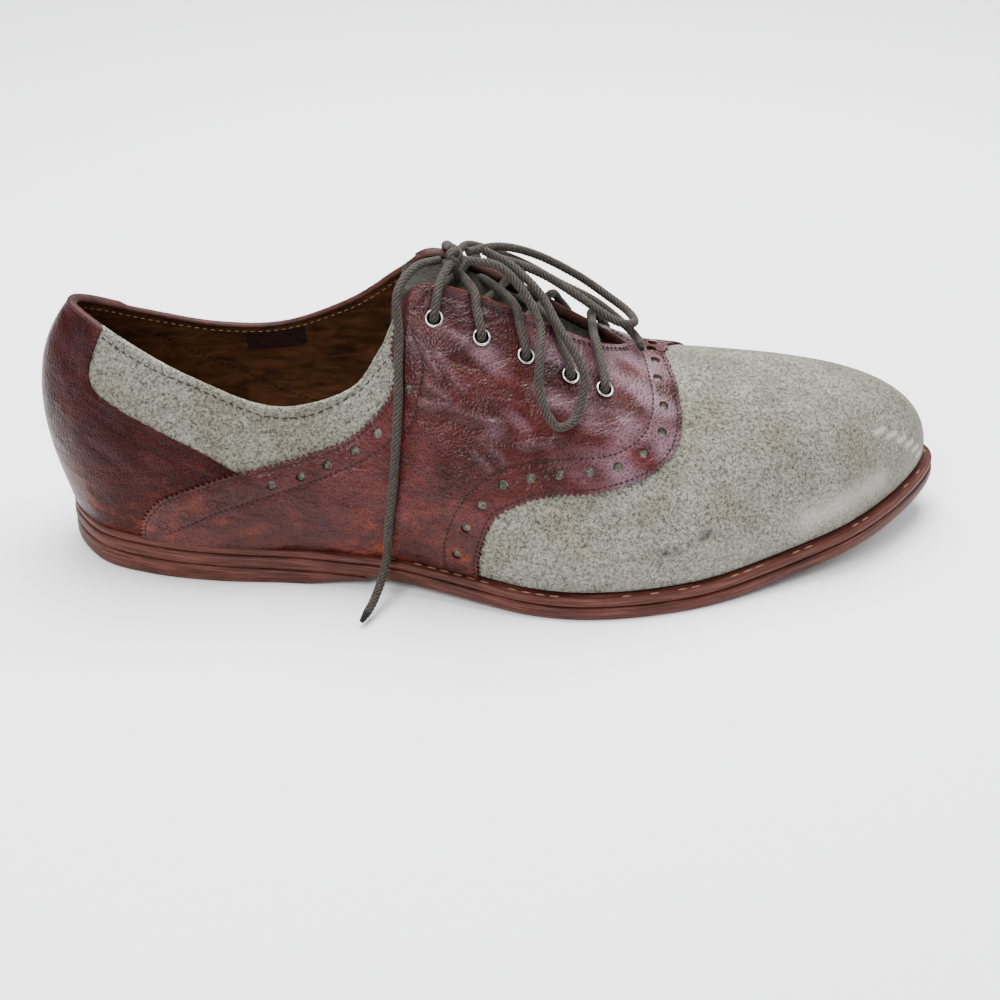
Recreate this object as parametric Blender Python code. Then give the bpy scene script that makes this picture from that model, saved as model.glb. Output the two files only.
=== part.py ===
"""A right-foot saddle shoe, standing empty on its sole.

The upper is one hollow shell, drawn the way a last is drawn: ribs rise from the sole's edge and
close in on the opening, which is the collar and the throat together. A place on the upper is a
pair, "row" and "up". Row counts the ribs from the heel back, round the lateral side to the toe
and back along the medial side. Up runs from 0 at the sole to 1 at the opening's edge. The saddle
and the heel counter are cut flat in row and up, then lasted: laid onto the upper's own facets.
"""

import math

import bmesh
import bpy
import numpy as np
from mathutils import Matrix, Vector

# Driving sizes, in metres
LENGTH = 0.308
BALL_WIDTH = 0.112
UPPER_HEIGHT = 0.074
WELT_MARGIN = 0.004
HEEL_LIFT = 0.0075
TOE_SPRING = 0.014
OUTSOLE_THICK = 0.0046
WELT_THICK = 0.003
INSOLE_THICK = 0.0022
UPPER_WALL = 0.002
PANEL_THICK = 0.0012
TONGUE_THICK = 0.0018
FIT_GAP = 0.0003
LACE_DIAMETER = 0.003
EYELET_BORE = 0.004
EYELET_WALL = 0.0005
FLANGE_WIDTH = 0.0007
FLANGE_THICK = 0.0006

# How finely the upper is faceted
ROW_STEPS = 2
LEVELS = 10
EYELET_SIDES = 14
SOLE_STATIONS = 34

# The last, a row per rib. Sole and opening are places: x is a share of LENGTH from the heel back,
# y of BALL_WIDTH, z of UPPER_HEIGHT above the heel seat. Margin is a share of WELT_MARGIN. The
# rib leaves the sole by "low out" (of BALL_WIDTH) and "low up" (of UPPER_HEIGHT), and arrives at
# the opening by "reach" (of its own plan length), "high out" and "high down".
LAST_COLUMNS = (
    "name", "sole_x", "sole_y", "margin", "open_x", "open_y", "open_z",
    "low_out", "low_up", "reach", "high_out", "high_down",
)
LAST_ROWS = (
    ("heel back", 0.000, 0.000, 0.4, 0.029, 0.000, 1.000, 0.05, 0.30, 0.00, 0.18, 0.30),
    ("lateral heel corner", 0.039, -0.200, 0.5, 0.042, -0.063, 0.986, 0.04, 0.30, 0.00, 0.14, 0.30),
    ("lateral heel", 0.103, -0.288, 0.6, 0.098, -0.170, 0.899, 0.04, 0.28, 0.00, 0.10, 0.28),
    ("lateral seat back", 0.182, -0.329, 0.7, 0.169, -0.228, 0.764, 0.04, 0.24, 0.00, 0.06, 0.22),
    ("lateral seat", 0.260, -0.339, 0.8, 0.256, -0.250, 0.635, 0.04, 0.20, 0.00, 0.05, 0.18),
    ("lateral waist", 0.334, -0.362, 0.9, 0.334, -0.219, 0.696, 0.05, 0.22, 0.00, 0.10, 0.20),
    ("lateral collar rise", 0.383, -0.384, 1.0, 0.369, -0.183, 0.865, 0.05, 0.26, 0.00, 0.14, 0.28),
    ("lateral facing corner", 0.429, -0.424, 1.0, 0.394, -0.139, 1.065, 0.05, 0.30, 0.00, 0.18, 0.36),
    ("lateral facing top", 0.477, -0.471, 1.0, 0.419, -0.116, 1.149, 0.05, 0.30, 0.00, 0.22, 0.34),
    ("lateral facing", 0.529, -0.513, 1.0, 0.477, -0.098, 1.074, 0.04, 0.28, 0.10, 0.21, 0.26),
    ("lateral facing front", 0.591, -0.534, 1.0, 0.545, -0.071, 0.919, 0.03, 0.27, 0.30, 0.13, 0.16),
    ("lateral throat side", 0.659, -0.513, 1.0, 0.597, -0.036, 0.804, 0.03, 0.27, 0.50, 0.05, 0.11),
    ("lateral throat corner", 0.734, -0.451, 1.0, 0.623, 0.009, 0.750, 0.03, 0.28, 0.60, 0.00, 0.09),
    ("lateral toe side", 0.818, -0.344, 1.0, 0.631, 0.033, 0.733, 0.03, 0.31, 0.64, 0.00, 0.10),
    ("lateral toe corner", 0.899, -0.228, 1.0, 0.634, 0.042, 0.728, 0.03, 0.34, 0.67, 0.00, 0.11),
    ("lateral toe", 0.964, -0.052, 1.0, 0.636, 0.046, 0.726, 0.03, 0.37, 0.70, 0.00, 0.12),
    ("toe tip", 1.000, 0.128, 1.0, 0.637, 0.050, 0.726, 0.03, 0.39, 0.71, 0.00, 0.12),
    ("medial toe", 0.984, 0.268, 1.0, 0.636, 0.054, 0.726, 0.04, 0.40, 0.71, 0.00, 0.13),
    ("medial toe corner", 0.934, 0.360, 1.0, 0.634, 0.060, 0.728, 0.04, 0.37, 0.69, 0.00, 0.14),
    ("medial toe side", 0.858, 0.422, 1.0, 0.631, 0.068, 0.733, 0.04, 0.32, 0.62, 0.00, 0.14),
    ("medial throat corner", 0.772, 0.449, 1.0, 0.622, 0.082, 0.750, 0.03, 0.28, 0.55, 0.00, 0.15),
    ("medial throat side", 0.690, 0.435, 1.0, 0.595, 0.106, 0.804, 0.03, 0.26, 0.48, 0.02, 0.16),
    ("medial facing front", 0.610, 0.375, 1.0, 0.543, 0.125, 0.919, 0.04, 0.28, 0.30, 0.08, 0.18),
    ("medial facing", 0.532, 0.308, 1.0, 0.475, 0.136, 1.074, 0.06, 0.30, 0.10, 0.13, 0.26),
    ("medial facing top", 0.462, 0.262, 1.0, 0.422, 0.134, 1.149, 0.08, 0.32, 0.00, 0.13, 0.34),
    ("medial collar rise", 0.395, 0.244, 1.0, 0.385, 0.155, 1.050, 0.09, 0.32, 0.00, 0.12, 0.32),
    ("medial waist", 0.330, 0.252, 0.9, 0.328, 0.195, 0.870, 0.08, 0.28, 0.00, 0.08, 0.26),
    ("medial seat", 0.250, 0.280, 0.8, 0.248, 0.238, 0.720, 0.05, 0.24, 0.00, 0.04, 0.20),
    ("medial seat back", 0.178, 0.295, 0.7, 0.172, 0.225, 0.725, 0.05, 0.26, 0.00, 0.06, 0.22),
    ("medial heel", 0.101, 0.268, 0.6, 0.097, 0.165, 0.830, 0.04, 0.28, 0.00, 0.09, 0.28),
    ("medial heel corner", 0.037, 0.190, 0.5, 0.042, 0.063, 0.965, 0.04, 0.30, 0.00, 0.14, 0.30),
)
# The outsole's underside: x share, then its height as shares of HEEL_LIFT and TOE_SPRING
SIDE_PROFILE = (
    (-0.20, 1.10, 0.00),
    (0.00, 1.00, 0.00),
    (0.26, 0.74, 0.00),
    (0.35, 0.62, 0.00),
    (0.45, 0.34, 0.00),
    (0.56, 0.00, 0.00),
    (0.70, 0.00, 0.00),
    (0.80, 0.00, 0.20),
    (0.90, 0.00, 0.58),
    (1.00, 0.00, 1.00),
    (1.20, 0.00, 2.00),
)
# The heel's front underside curves up from the ground between these shares of LENGTH
BREAST_START, BREAST_END = 0.275, 0.350
BREAST_EDGE = 0.0008

# Outlines of the cut pieces, as (row, up). The medial halves mirror the lateral ones.
PANEL_FOOT = 0.02
SADDLE_REAR = (
    (7.00, 1.04), (6.80, 0.95), (6.75, 0.88), (6.88, 0.79), (6.55, 0.74), (5.50, 0.755),
    (4.90, 0.73), (4.30, 0.68), (3.65, 0.57), (2.95, 0.41), (2.40, 0.29), (2.15, 0.20),
    (1.97, 0.10), (1.90, PANEL_FOOT),
)
SADDLE_FRONT = (
    (7.90, PANEL_FOOT), (8.00, 0.11), (8.30, 0.22), (8.65, 0.31), (9.05, 0.36), (9.60, 0.405),
    (10.40, 0.43), (11.05, 0.47), (11.55, 0.515), (11.95, 0.58), (12.30, 0.67), (12.65, 0.76),
    (13.35, 0.86), (14.60, 0.925),
)
SADDLE_NOSE = (16.0, 0.935)
COUNTER_TOP = (
    (3.40, 0.535), (3.00, 0.600), (2.40, 0.655), (1.80, 0.695), (1.52, 0.725), (1.43, 0.79),
    (1.50, 0.90), (1.60, 1.04),
)
COUNTER_FRONT = (
    (1.78, PANEL_FOOT), (1.83, 0.11), (2.00, 0.215), (2.27, 0.31), (2.83, 0.425), (3.40, 0.535),
)
# Two ribs that face each other across the throat add up to this
FACING_ROWS = 32
# Places of the eyelets on the lateral side, from the collar to the toe, and on the medial side
EYELETS = {
    "lateral": ((8.29, 0.892), (9.02, 0.862), (9.62, 0.840), (10.26, 0.810), (10.83, 0.785)),
    "medial": ((23.71, 0.880), (22.98, 0.855), (22.38, 0.835), (21.74, 0.800), (21.17, 0.765)),
}

# The tongue's stations: the lateral rib that it passes under, and how far back and down of it
TONGUE_STATIONS = (
    (12.6, 0.000, 0.000), (12.0, 0.000, 0.000), (11.3, 0.000, 0.000), (10.6, 0.000, 0.000),
    (9.9, 0.000, 0.000), (9.2, 0.000, 0.000), (8.5, 0.000, 0.000), (7.8, 0.000, 0.000),
    (7.8, 0.004, 0.000), (7.8, 0.0085, 0.001),
)
# Across the tongue, from its lateral side edge: how far up the rib each place is
TONGUE_UNDER = (0.84, 0.92, 1.00)
TONGUE_MIDDLE = 5
TONGUE_TOP_WIDTH = 0.78
# How far its middle hangs below the two facings where the throat is widest
TONGUE_SAG = 0.005
TONGUE_WIDEST = 0.028

# Free laces, in metres from the heel back at ground level
KNOT_AT = (0.1385, -0.003, 0.1058)
KNOT_RADIUS = 0.0033
NEAR_LOOP = (
    (0.1426, -0.0063, 0.1062), (0.1530, -0.0095, 0.1055), (0.1610, -0.0135, 0.0985),
    (0.1665, -0.0200, 0.0895), (0.1665, -0.0298, 0.0825), (0.1665, -0.0358, 0.0728),
    (0.1715, -0.0408, 0.0635), (0.1775, -0.0385, 0.0640), (0.1800, -0.0345, 0.0688),
    (0.1810, -0.0300, 0.0760), (0.1775, -0.0250, 0.0825), (0.1725, -0.0190, 0.0885),
    (0.1665, -0.0110, 0.0965), (0.1575, -0.0040, 0.1030), (0.1480, -0.0022, 0.1080),
)
FAR_LOOP = (
    (0.1425, 0.0004, 0.1063), (0.1530, 0.0080, 0.1050), (0.1650, 0.0165, 0.0985),
    (0.1790, 0.0190, 0.0900), (0.1900, 0.0165, 0.0830), (0.1970, 0.0110, 0.0795),
    (0.1985, 0.0035, 0.0790), (0.1920, -0.0002, 0.0815), (0.1800, 0.0035, 0.0885),
    (0.1680, 0.0060, 0.0955), (0.1560, 0.0030, 0.1020), (0.1490, 0.0020, 0.1035),
)
FAR_END = (
    (0.1391, 0.0022, 0.1058), (0.1440, 0.0105, 0.1045), (0.1600, 0.0125, 0.0975),
    (0.1730, 0.0122, 0.0900), (0.1850, 0.0108, 0.0840), (0.1940, 0.0085, 0.0775),
    (0.1995, 0.0030, 0.0738), (0.2010, -0.0040, 0.0728),
)
# The near end leaves the knot, lies on the saddle as (row, up), then drops over the sole's edge
NEAR_END_START = ((0.1336, -0.0049, 0.1058), (0.1260, -0.0115, 0.1060), (0.1205, -0.0200, 0.1005))
NEAR_END_ON_SADDLE = (
    (7.46, 0.86), (7.36, 0.77), (7.12, 0.675), (6.68, 0.533), (6.30, 0.39), (6.02, 0.258),
    (5.88, 0.14),
)
NEAR_END_TAIL = (
    (0.1155, -0.0445, 0.0165), (0.1140, -0.0495, 0.0105), (0.1112, -0.0565, 0.0052),
    (0.1078, -0.0634, 0.0022),
)

# Flat patterns are drawn at this pitch, so that their cells are near to square
FLAT_ROW, FLAT_UP = 0.015, 0.075

MATERIALS = {
    "leather": ((0.205, 0.048, 0.048), 0.45),
    "suede": ((0.36, 0.33, 0.28), 0.95),
    "sole": ((0.17, 0.065, 0.04), 0.55),
    "lining": ((0.36, 0.2, 0.09), 0.6),
    "eyelet": ((0.62, 0.62, 0.6), 0.3),
    "lace": ((0.075, 0.06, 0.05), 0.85),
}


# Curves through tables

def catmull_rom(points, step):
    """The curve through the second and third of four points."""
    before, start, end, after = points
    return 0.5 * (
        2 * start
        + (end - before) * step
        + (2 * before - 5 * start + 4 * end - after) * step**2
        + (3 * start - before - 3 * end + after) * step**3
    )


def round_values(values, at):
    """Values of a closed table at places counted in its rows."""
    values = np.asarray(values, float)
    at = np.asarray(at, float)
    first = np.floor(at).astype(int)
    step = (at - first)[..., None]
    return catmull_rom([values[(first + k) % len(values)] for k in (-1, 0, 1, 2)], step)


def through(points, steps):
    """A smooth open curve through the points, with this many steps between each two."""
    points = np.asarray(points, float)
    padded = np.vstack([2 * points[0] - points[1], points, 2 * points[-1] - points[-2]])
    places = [
        catmull_rom(padded[k : k + 4], s / steps)
        for k in range(len(points) - 1)
        for s in range(steps)
    ]
    return np.array(places + [points[-1]])


def no_overshoot(places, heights, at):
    """A smooth curve through the heights that never leaves the range of its two neighbours."""
    slopes = np.diff(heights) / np.diff(places)
    before, after = slopes[:-1], slopes[1:]
    same_way = before * after > 0
    total = np.where(same_way, before + after, 1.0)
    tangents = np.where(same_way, 2 * before * after / total, 0.0)
    tangents = np.concatenate([slopes[:1], tangents, slopes[-1:]])
    k = np.clip(np.searchsorted(places, at) - 1, 0, len(places) - 2)
    width = places[k + 1] - places[k]
    s = (at - places[k]) / width
    return (
        (1 + 2 * s) * (1 - s) ** 2 * heights[k]
        + s * (1 - s) ** 2 * width * tangents[k]
        + s**2 * (3 - 2 * s) * heights[k + 1]
        + s**2 * (s - 1) * width * tangents[k + 1]
    )


def columns(**sizes):
    """Columns of the last's table, each given by its name and the size that it is a share of."""
    places = [LAST_COLUMNS.index(name) for name in sizes]
    table = np.array([[row[place] for place in places] for row in LAST_ROWS], float)
    return table * list(sizes.values())


# The sole's outline and heights

def sole_edge(row):
    return round_values(columns(sole_x=LENGTH, sole_y=BALL_WIDTH), row)


def sole_outward(row):
    """The outline's outward direction, level with the ground."""
    row = np.asarray(row, float)
    along = sole_edge(row + 0.06) - sole_edge(row - 0.06)
    outward = np.stack([along[..., 1], -along[..., 0]], -1)
    return outward / np.linalg.norm(outward, axis=-1, keepdims=True)


def underside(x):
    """Height of the outsole's underside, above the ground."""
    table = np.array(SIDE_PROFILE)
    heights = table[:, 1] * HEEL_LIFT + table[:, 2] * TOE_SPRING
    return no_overshoot(table[:, 0], heights, np.asarray(x, float) / LENGTH)


def seat(x):
    """Height at which the upper and the insole lie on the welt."""
    return underside(x) + OUTSOLE_THICK + WELT_THICK + FIT_GAP


# The last

def skin(row, up):
    """The upper's outer surface."""
    row = np.asarray(row, float)
    up = np.asarray(up, float)[..., None]
    outward = sole_outward(row)
    margin = round_values(columns(margin=WELT_MARGIN), row)
    foot = sole_edge(row) - outward * margin
    foot = np.concatenate([foot, seat(foot[..., 0])[..., None]], -1)
    opening = round_values(columns(open_x=LENGTH, open_y=BALL_WIDTH, open_z=UPPER_HEIGHT), row)
    opening = opening + np.array([0, 0, seat(0.0)])
    handles = round_values(
        columns(
            low_out=BALL_WIDTH, low_up=UPPER_HEIGHT, reach=1.0,
            high_out=BALL_WIDTH, high_down=UPPER_HEIGHT,
        ),
        row,
    )
    low_out, low_up, reach, high_out, high_down = (handles[..., k : k + 1] for k in range(5))
    outward = np.concatenate([outward, np.zeros_like(outward[..., :1])], -1)
    upward = np.array([0, 0, 1.0])
    leaving = foot + outward * low_out + upward * low_up
    level = (foot - opening) * np.array([1, 1, 0])
    arriving = opening + level * reach + outward * high_out - upward * high_down
    return (
        (1 - up) ** 3 * foot
        + 3 * (1 - up) ** 2 * up * leaving
        + 3 * (1 - up) * up**2 * arriving
        + up**3 * opening
    )


def skin_outward(row, up):
    row = np.asarray(row, float)
    up = np.asarray(up, float)
    along = skin(row + 0.03, up) - skin(row - 0.03, up)
    rising = skin(row, up + 0.005) - skin(row, up - 0.005)
    outward = np.cross(along, rising)
    return outward / np.linalg.norm(outward, axis=-1, keepdims=True)


ROWS = len(LAST_ROWS)
AROUND, RISING = np.meshgrid(
    np.arange(ROWS * ROW_STEPS) / ROW_STEPS, np.linspace(0, 1, LEVELS + 1), indexing="ij"
)
FACET_CORNERS = skin(AROUND, RISING)
FACET_OUTWARD = skin_outward(AROUND, RISING)


def lasted(row, up, height):
    """A place over the upper's own facets, so that laid pieces stay parallel to them."""
    across = np.asarray(row, float) * ROW_STEPS
    rise = np.clip(np.asarray(up, float), 0, 1) * LEVELS
    i = np.floor(across).astype(int)
    j = np.minimum(np.floor(rise).astype(int), LEVELS - 1)
    u, v = (across - i)[..., None], (rise - j)[..., None]
    count = ROWS * ROW_STEPS
    places = []
    for grid in (FACET_CORNERS, FACET_OUTWARD):
        near, ahead = grid[i % count, j], grid[(i + 1) % count, j + 1]
        beside, above = grid[(i + 1) % count, j], grid[i % count, j + 1]
        places.append(
            np.where(
                u >= v,
                near + u * (beside - near) + v * (ahead - beside),
                near + v * (above - near) + u * (ahead - above),
            )
        )
    return places[0] + places[1] * np.asarray(height, float)[..., None]


def medial_row(row):
    """The medial rib that faces a lateral one."""
    facing = (ROWS + 6.0, ROWS, ROWS - 6.0, ROWS - 7.0, 16.0)
    return np.interp(row, (-6.0, 0.0, 6.0, 8.0, 16.0), facing)


# Blender objects

def clear_scene():
    for obj in list(bpy.data.objects):
        bpy.data.objects.remove(obj, do_unlink=True)


def collection(name):
    made = bpy.data.collections.new(name)
    bpy.context.scene.collection.children.link(made)
    return made


def material(name):
    made = bpy.data.materials.new(name)
    made.use_nodes = True
    color, roughness = MATERIALS[name]
    shader = made.node_tree.nodes["Principled BSDF"]
    shader.inputs["Base Color"].default_value = (*color, 1)
    shader.inputs["Roughness"].default_value = roughness
    if name == "eyelet":
        shader.inputs["Metallic"].default_value = 1.0
    return made


def add_object(name, mesh, finish=None):
    """A piece of the shoe when it has a finish, and a cutter when it has none."""
    made = bpy.data.objects.new(name, mesh)
    if finish:
        PIECES.objects.link(made)
        mesh.materials.append(FINISHES[finish])
    else:
        CUTTERS.objects.link(made)
        made.hide_render = True
        made.display_type = "WIRE"
    return made


def mesh_from(name, shape):
    bmesh.ops.recalc_face_normals(shape, faces=shape.faces)
    mesh = bpy.data.meshes.new(name)
    shape.to_mesh(mesh)
    shape.free()
    return mesh


def grid_shell(name, outer, inner, closed):
    """Two layers of points joined at their borders. A closed one runs round its first direction."""
    shape = bmesh.new()
    layers = [[[shape.verts.new(p) for p in line] for line in layer] for layer in (outer, inner)]
    count, levels = len(outer), len(outer[0])
    steps = [(i, (i + 1) % count) for i in range(count if closed else count - 1)]
    for layer in layers:
        for i, k in steps:
            for j in range(levels - 1):
                shape.faces.new((layer[i][j], layer[k][j], layer[k][j + 1]))
                shape.faces.new((layer[i][j], layer[k][j + 1], layer[i][j + 1]))
    first, second = layers
    for i, k in steps:
        for j in (0, levels - 1):
            shape.faces.new((first[i][j], first[k][j], second[k][j], second[i][j]))
    if not closed:
        for i in (0, count - 1):
            for j in range(levels - 1):
                shape.faces.new((first[i][j], first[i][j + 1], second[i][j + 1], second[i][j]))
    return mesh_from(name, shape)


def prism(name, outline, bottom, top):
    """An upright block with this flat outline."""
    shape = bmesh.new()
    base = shape.faces.new([shape.verts.new((x, y, bottom)) for x, y in outline])
    raised = bmesh.ops.extrude_face_region(shape, geom=[base])
    corners = [v for v in raised["geom"] if isinstance(v, bmesh.types.BMVert)]
    bmesh.ops.translate(shape, vec=(0, 0, top - bottom), verts=corners)
    return add_object(name, mesh_from(name, shape))


def boolean(obj, cutter, operation):
    """Applies the Boolean at once, so that what follows can work on its mesh."""
    modifier = obj.modifiers.new(operation.title(), "BOOLEAN")
    modifier.operation = operation
    modifier.solver = "EXACT"
    modifier.object = cutter
    bpy.context.view_layer.update()
    graph = bpy.context.evaluated_depsgraph_get()
    cut = bpy.data.meshes.new_from_object(obj.evaluated_get(graph), depsgraph=graph)
    obj.modifiers.remove(modifier)
    obj.data = cut


def shade(obj, angle_degrees):
    """Smooth shading, with the edges sharper than this angle left crisp."""
    limit = math.radians(angle_degrees)
    shape = bmesh.new()
    shape.from_mesh(obj.data)
    for face in shape.faces:
        face.smooth = True
    for edge in shape.edges:
        edge.smooth = len(edge.link_faces) == 2 and edge.calc_face_angle(0) < limit
    shape.to_mesh(obj.data)
    shape.free()


# The sole

def slab(name, low, high, finish):
    """A curved sheet across the whole foot, between two heights that depend on x."""
    stations = np.linspace(-0.04, 1.04, SOLE_STATIONS) * LENGTH
    outer = [[(x, y, high(x)) for y in (-BALL_WIDTH, BALL_WIDTH)] for x in stations]
    inner = [[(x, y, low(x)) for y in (-BALL_WIDTH, BALL_WIDTH)] for x in stations]
    return add_object(name, grid_shell(name, outer, inner, closed=False), finish)


def sole_outline(inset=0.0):
    rows = np.arange(ROWS * ROW_STEPS) / ROW_STEPS
    return sole_edge(rows) - sole_outward(rows) * inset


def heel_underside(x):
    rise = np.clip((x / LENGTH - BREAST_START) / (BREAST_END - BREAST_START), 0, 1)
    return (underside(x) - FIT_GAP - BREAST_EDGE) * rise**2 * (3 - 2 * rise)


def make_sole():
    outline = prism("sole_outline", sole_outline(), -HEEL_LIFT, UPPER_HEIGHT)
    outsole = slab("outsole", underside, lambda x: underside(x) + OUTSOLE_THICK, "sole")
    boolean(outsole, outline, "INTERSECT")

    # The welt lies a little inside the outsole, which leaves the groove seen along the side
    welt_outline = prism("welt_outline", sole_outline(FIT_GAP), -HEEL_LIFT, UPPER_HEIGHT)
    welt = slab(
        "welt",
        lambda x: underside(x) + OUTSOLE_THICK + FIT_GAP,
        lambda x: seat(x) - FIT_GAP,
        "sole",
    )
    boolean(welt, welt_outline, "INTERSECT")

    heel = slab("heel", heel_underside, lambda x: underside(x) - FIT_GAP, "sole")
    boolean(heel, outline, "INTERSECT")
    back, breast = -BALL_WIDTH / 2, BREAST_END * LENGTH
    behind = [(back, -BALL_WIDTH), (breast, -BALL_WIDTH), (breast, BALL_WIDTH), (back, BALL_WIDTH)]
    boolean(heel, prism("heel_block", behind, -HEEL_LIFT, UPPER_HEIGHT), "INTERSECT")

    # The insole fills the foot of the upper, inside its wall
    rows = np.arange(ROWS * ROW_STEPS) / ROW_STEPS
    margin = round_values(columns(margin=WELT_MARGIN), rows)
    inset = margin + UPPER_WALL + 2 * FIT_GAP
    inside = sole_edge(rows) - sole_outward(rows) * inset
    insole = slab("insole", seat, lambda x: seat(x) + INSOLE_THICK, "lining")
    boolean(insole, prism("insole_outline", inside, -HEEL_LIFT, UPPER_HEIGHT), "INTERSECT")
    for obj in (outsole, welt, heel, insole):
        shade(obj, 35)
    return [outsole, welt, heel, insole]


# The upper and what is laid on it

def make_upper():
    inner = FACET_CORNERS - FACET_OUTWARD * UPPER_WALL
    return add_object("upper", grid_shell("upper", FACET_CORNERS, inner, closed=True), "suede")


def flat_plate(name, first_row, last_row, finish):
    """A sheet over the upper's own facets, still flat."""
    rows = np.arange(first_row * ROW_STEPS, last_row * ROW_STEPS + 1) / ROW_STEPS
    levels = np.linspace(0, 1, LEVELS + 1)
    layers = [
        [[(r * FLAT_ROW, u * FLAT_UP, h) for u in levels] for r in rows]
        for h in (FIT_GAP + PANEL_THICK, FIT_GAP)
    ]
    return add_object(name, grid_shell(name, *layers, closed=False), finish)


def cut_flat(obj, outline):
    """Cuts the plate along an outline given as (row, up), then lasts it."""
    flat = [(row * FLAT_ROW, up * FLAT_UP) for row, up in outline]
    pattern = prism(obj.name + "_pattern", flat, -PANEL_THICK, 3 * PANEL_THICK)
    boolean(obj, pattern, "INTERSECT")
    shape = bmesh.new()
    shape.from_mesh(obj.data)
    bmesh.ops.remove_doubles(shape, verts=shape.verts, dist=1e-6)
    bmesh.ops.triangulate(shape, faces=shape.faces)
    corners = np.array([v.co for v in shape.verts])
    places = lasted(corners[:, 0] / FLAT_ROW, corners[:, 1] / FLAT_UP, corners[:, 2])
    for vert, place in zip(shape.verts, places):
        vert.co = place
    shape.to_mesh(obj.data)
    shape.free()


def mirrored(outline):
    """The medial copy of a lateral outline, running the other way."""
    return [(float(medial_row(row)), up) for row, up in reversed(outline)]


def make_saddle():
    rear = through(SADDLE_REAR, 2)
    front = through([*SADDLE_FRONT, SADDLE_NOSE], 2)
    outline = [*rear, *front, *mirrored(front)[1:], *mirrored(rear)]
    saddle = flat_plate("saddle", 1, 30, "leather")
    cut_flat(saddle, outline)
    return saddle


def make_counter():
    front = through(COUNTER_FRONT, 2)
    top = through(COUNTER_TOP, 2)[1:]
    lateral = [*front, *top]
    medial = [(-row, up) for row, up in reversed(lateral)]
    counter = flat_plate("heel_counter", -4, 4, "leather")
    cut_flat(counter, [*lateral, *medial])
    return counter


def upright_on(row, up, height):
    """A matrix whose Z axis leaves the upper at this place, at this height over its facets."""
    foot = Vector(lasted(row, up, 0.0))
    outward = (Vector(lasted(row, up, 0.01)) - foot).normalized()
    turn = outward.to_track_quat("Z", "Y").to_matrix().to_4x4()
    return Matrix.Translation(foot + outward * height) @ turn


def turned(name, profile, sides, matrix, finish=None):
    """A closed profile of (radius, height) turned round the matrix's Z axis."""
    shape = bmesh.new()
    rings = []
    for k in range(sides):
        angle = 2 * math.pi * k / sides
        ring = [(r * math.cos(angle), r * math.sin(angle), h) for r, h in profile]
        rings.append([shape.verts.new(matrix @ Vector(p)) for p in ring])
    for k in range(sides):
        this, other = rings[k], rings[(k + 1) % sides]
        for j in range(len(profile)):
            after = (j + 1) % len(profile)
            shape.faces.new((this[j], other[j], other[after], this[after]))
    made = add_object(name, mesh_from(name, shape), finish)
    if finish:
        shade(made, 40)
    return made


def make_eyelets(upper, saddle):
    bore = EYELET_BORE / 2
    barrel = bore + EYELET_WALL
    flange = barrel + FLANGE_WIDTH
    seat_height = PANEL_THICK + 2 * FIT_GAP
    inside = -UPPER_WALL - FIT_GAP / 2
    profile = (
        (bore, inside), (barrel, inside), (barrel, seat_height), (flange, seat_height),
        (flange - FLANGE_THICK / 2, seat_height + FLANGE_THICK), (bore, seat_height + FLANGE_THICK),
    )
    eyelets = []
    for side, places in EYELETS.items():
        for number, (row, up) in enumerate(places, 1):
            matrix = upright_on(row, up, 0.0)
            name = f"eyelet_{side}_{number}"
            eyelets.append(turned(name, profile, EYELET_SIDES, matrix, "eyelet"))
            hole = barrel + FIT_GAP
            angles = [2 * math.pi * k / EYELET_SIDES for k in range(EYELET_SIDES)]
            circle = [(hole * math.cos(a), hole * math.sin(a)) for a in angles]
            punch = prism(name + "_punch", circle, -2 * UPPER_WALL, 3 * PANEL_THICK)
            punch.data.transform(matrix)
            boolean(upper, punch, "DIFFERENCE")
            boolean(saddle, punch, "DIFFERENCE")
    return eyelets


def make_tongue():
    """The tongue follows the upper's inner face at both sides, and bridges the throat between."""
    depth = UPPER_WALL + 2 * FIT_GAP
    lines = []
    for row, back, down in TONGUE_STATIONS:
        sides = []
        for rib in (row, float(medial_row(row))):
            under = np.array([lasted(rib, up, -depth) for up in TONGUE_UNDER])
            sides.append(under)
        lateral, medial = sides
        width = np.linalg.norm(medial[-1] - lateral[-1])
        leaving = (lateral[-1] - lateral[-2]) / np.linalg.norm(lateral[-1] - lateral[-2])
        arriving = (medial[-1] - medial[-2]) / np.linalg.norm(medial[-1] - medial[-2])
        middle = []
        for k in range(1, TONGUE_MIDDLE + 1):
            s = k / (TONGUE_MIDDLE + 1)
            place = (
                (1 + 2 * s) * (1 - s) ** 2 * lateral[-1]
                + s * (1 - s) ** 2 * width * leaving * 0.5
                + s**2 * (3 - 2 * s) * medial[-1]
                + s**2 * (1 - s) * width * arriving * 0.5
            )
            sag = TONGUE_SAG * min(1.0, width / TONGUE_WIDEST) * math.sin(math.pi * s)
            middle.append(place - np.array([0, 0, sag]))
        line = np.array([*lateral, *middle, *medial[::-1]])
        # Past the facing it narrows, and lies free of the collar
        narrow = 1 - (1 - TONGUE_TOP_WIDTH) * back / TONGUE_STATIONS[-1][1]
        centre = line.mean(axis=0)
        line = centre + (line - centre) * np.array([1, narrow, 1])
        lines.append(line + np.array([-back, 0, -down]))
    lines = np.array(lines)
    along = np.gradient(lines, axis=0)
    across = np.gradient(lines, axis=1)
    inward = np.cross(along, across)
    inward /= np.linalg.norm(inward, axis=-1, keepdims=True)
    inward *= np.where(inward[..., 2:] > 0, -1, 1)
    mesh = grid_shell("tongue", lines, lines + inward * TONGUE_THICK, closed=False)
    tongue = add_object("tongue", mesh, "suede")
    shade(tongue, 50)
    return tongue


# The laces

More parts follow.
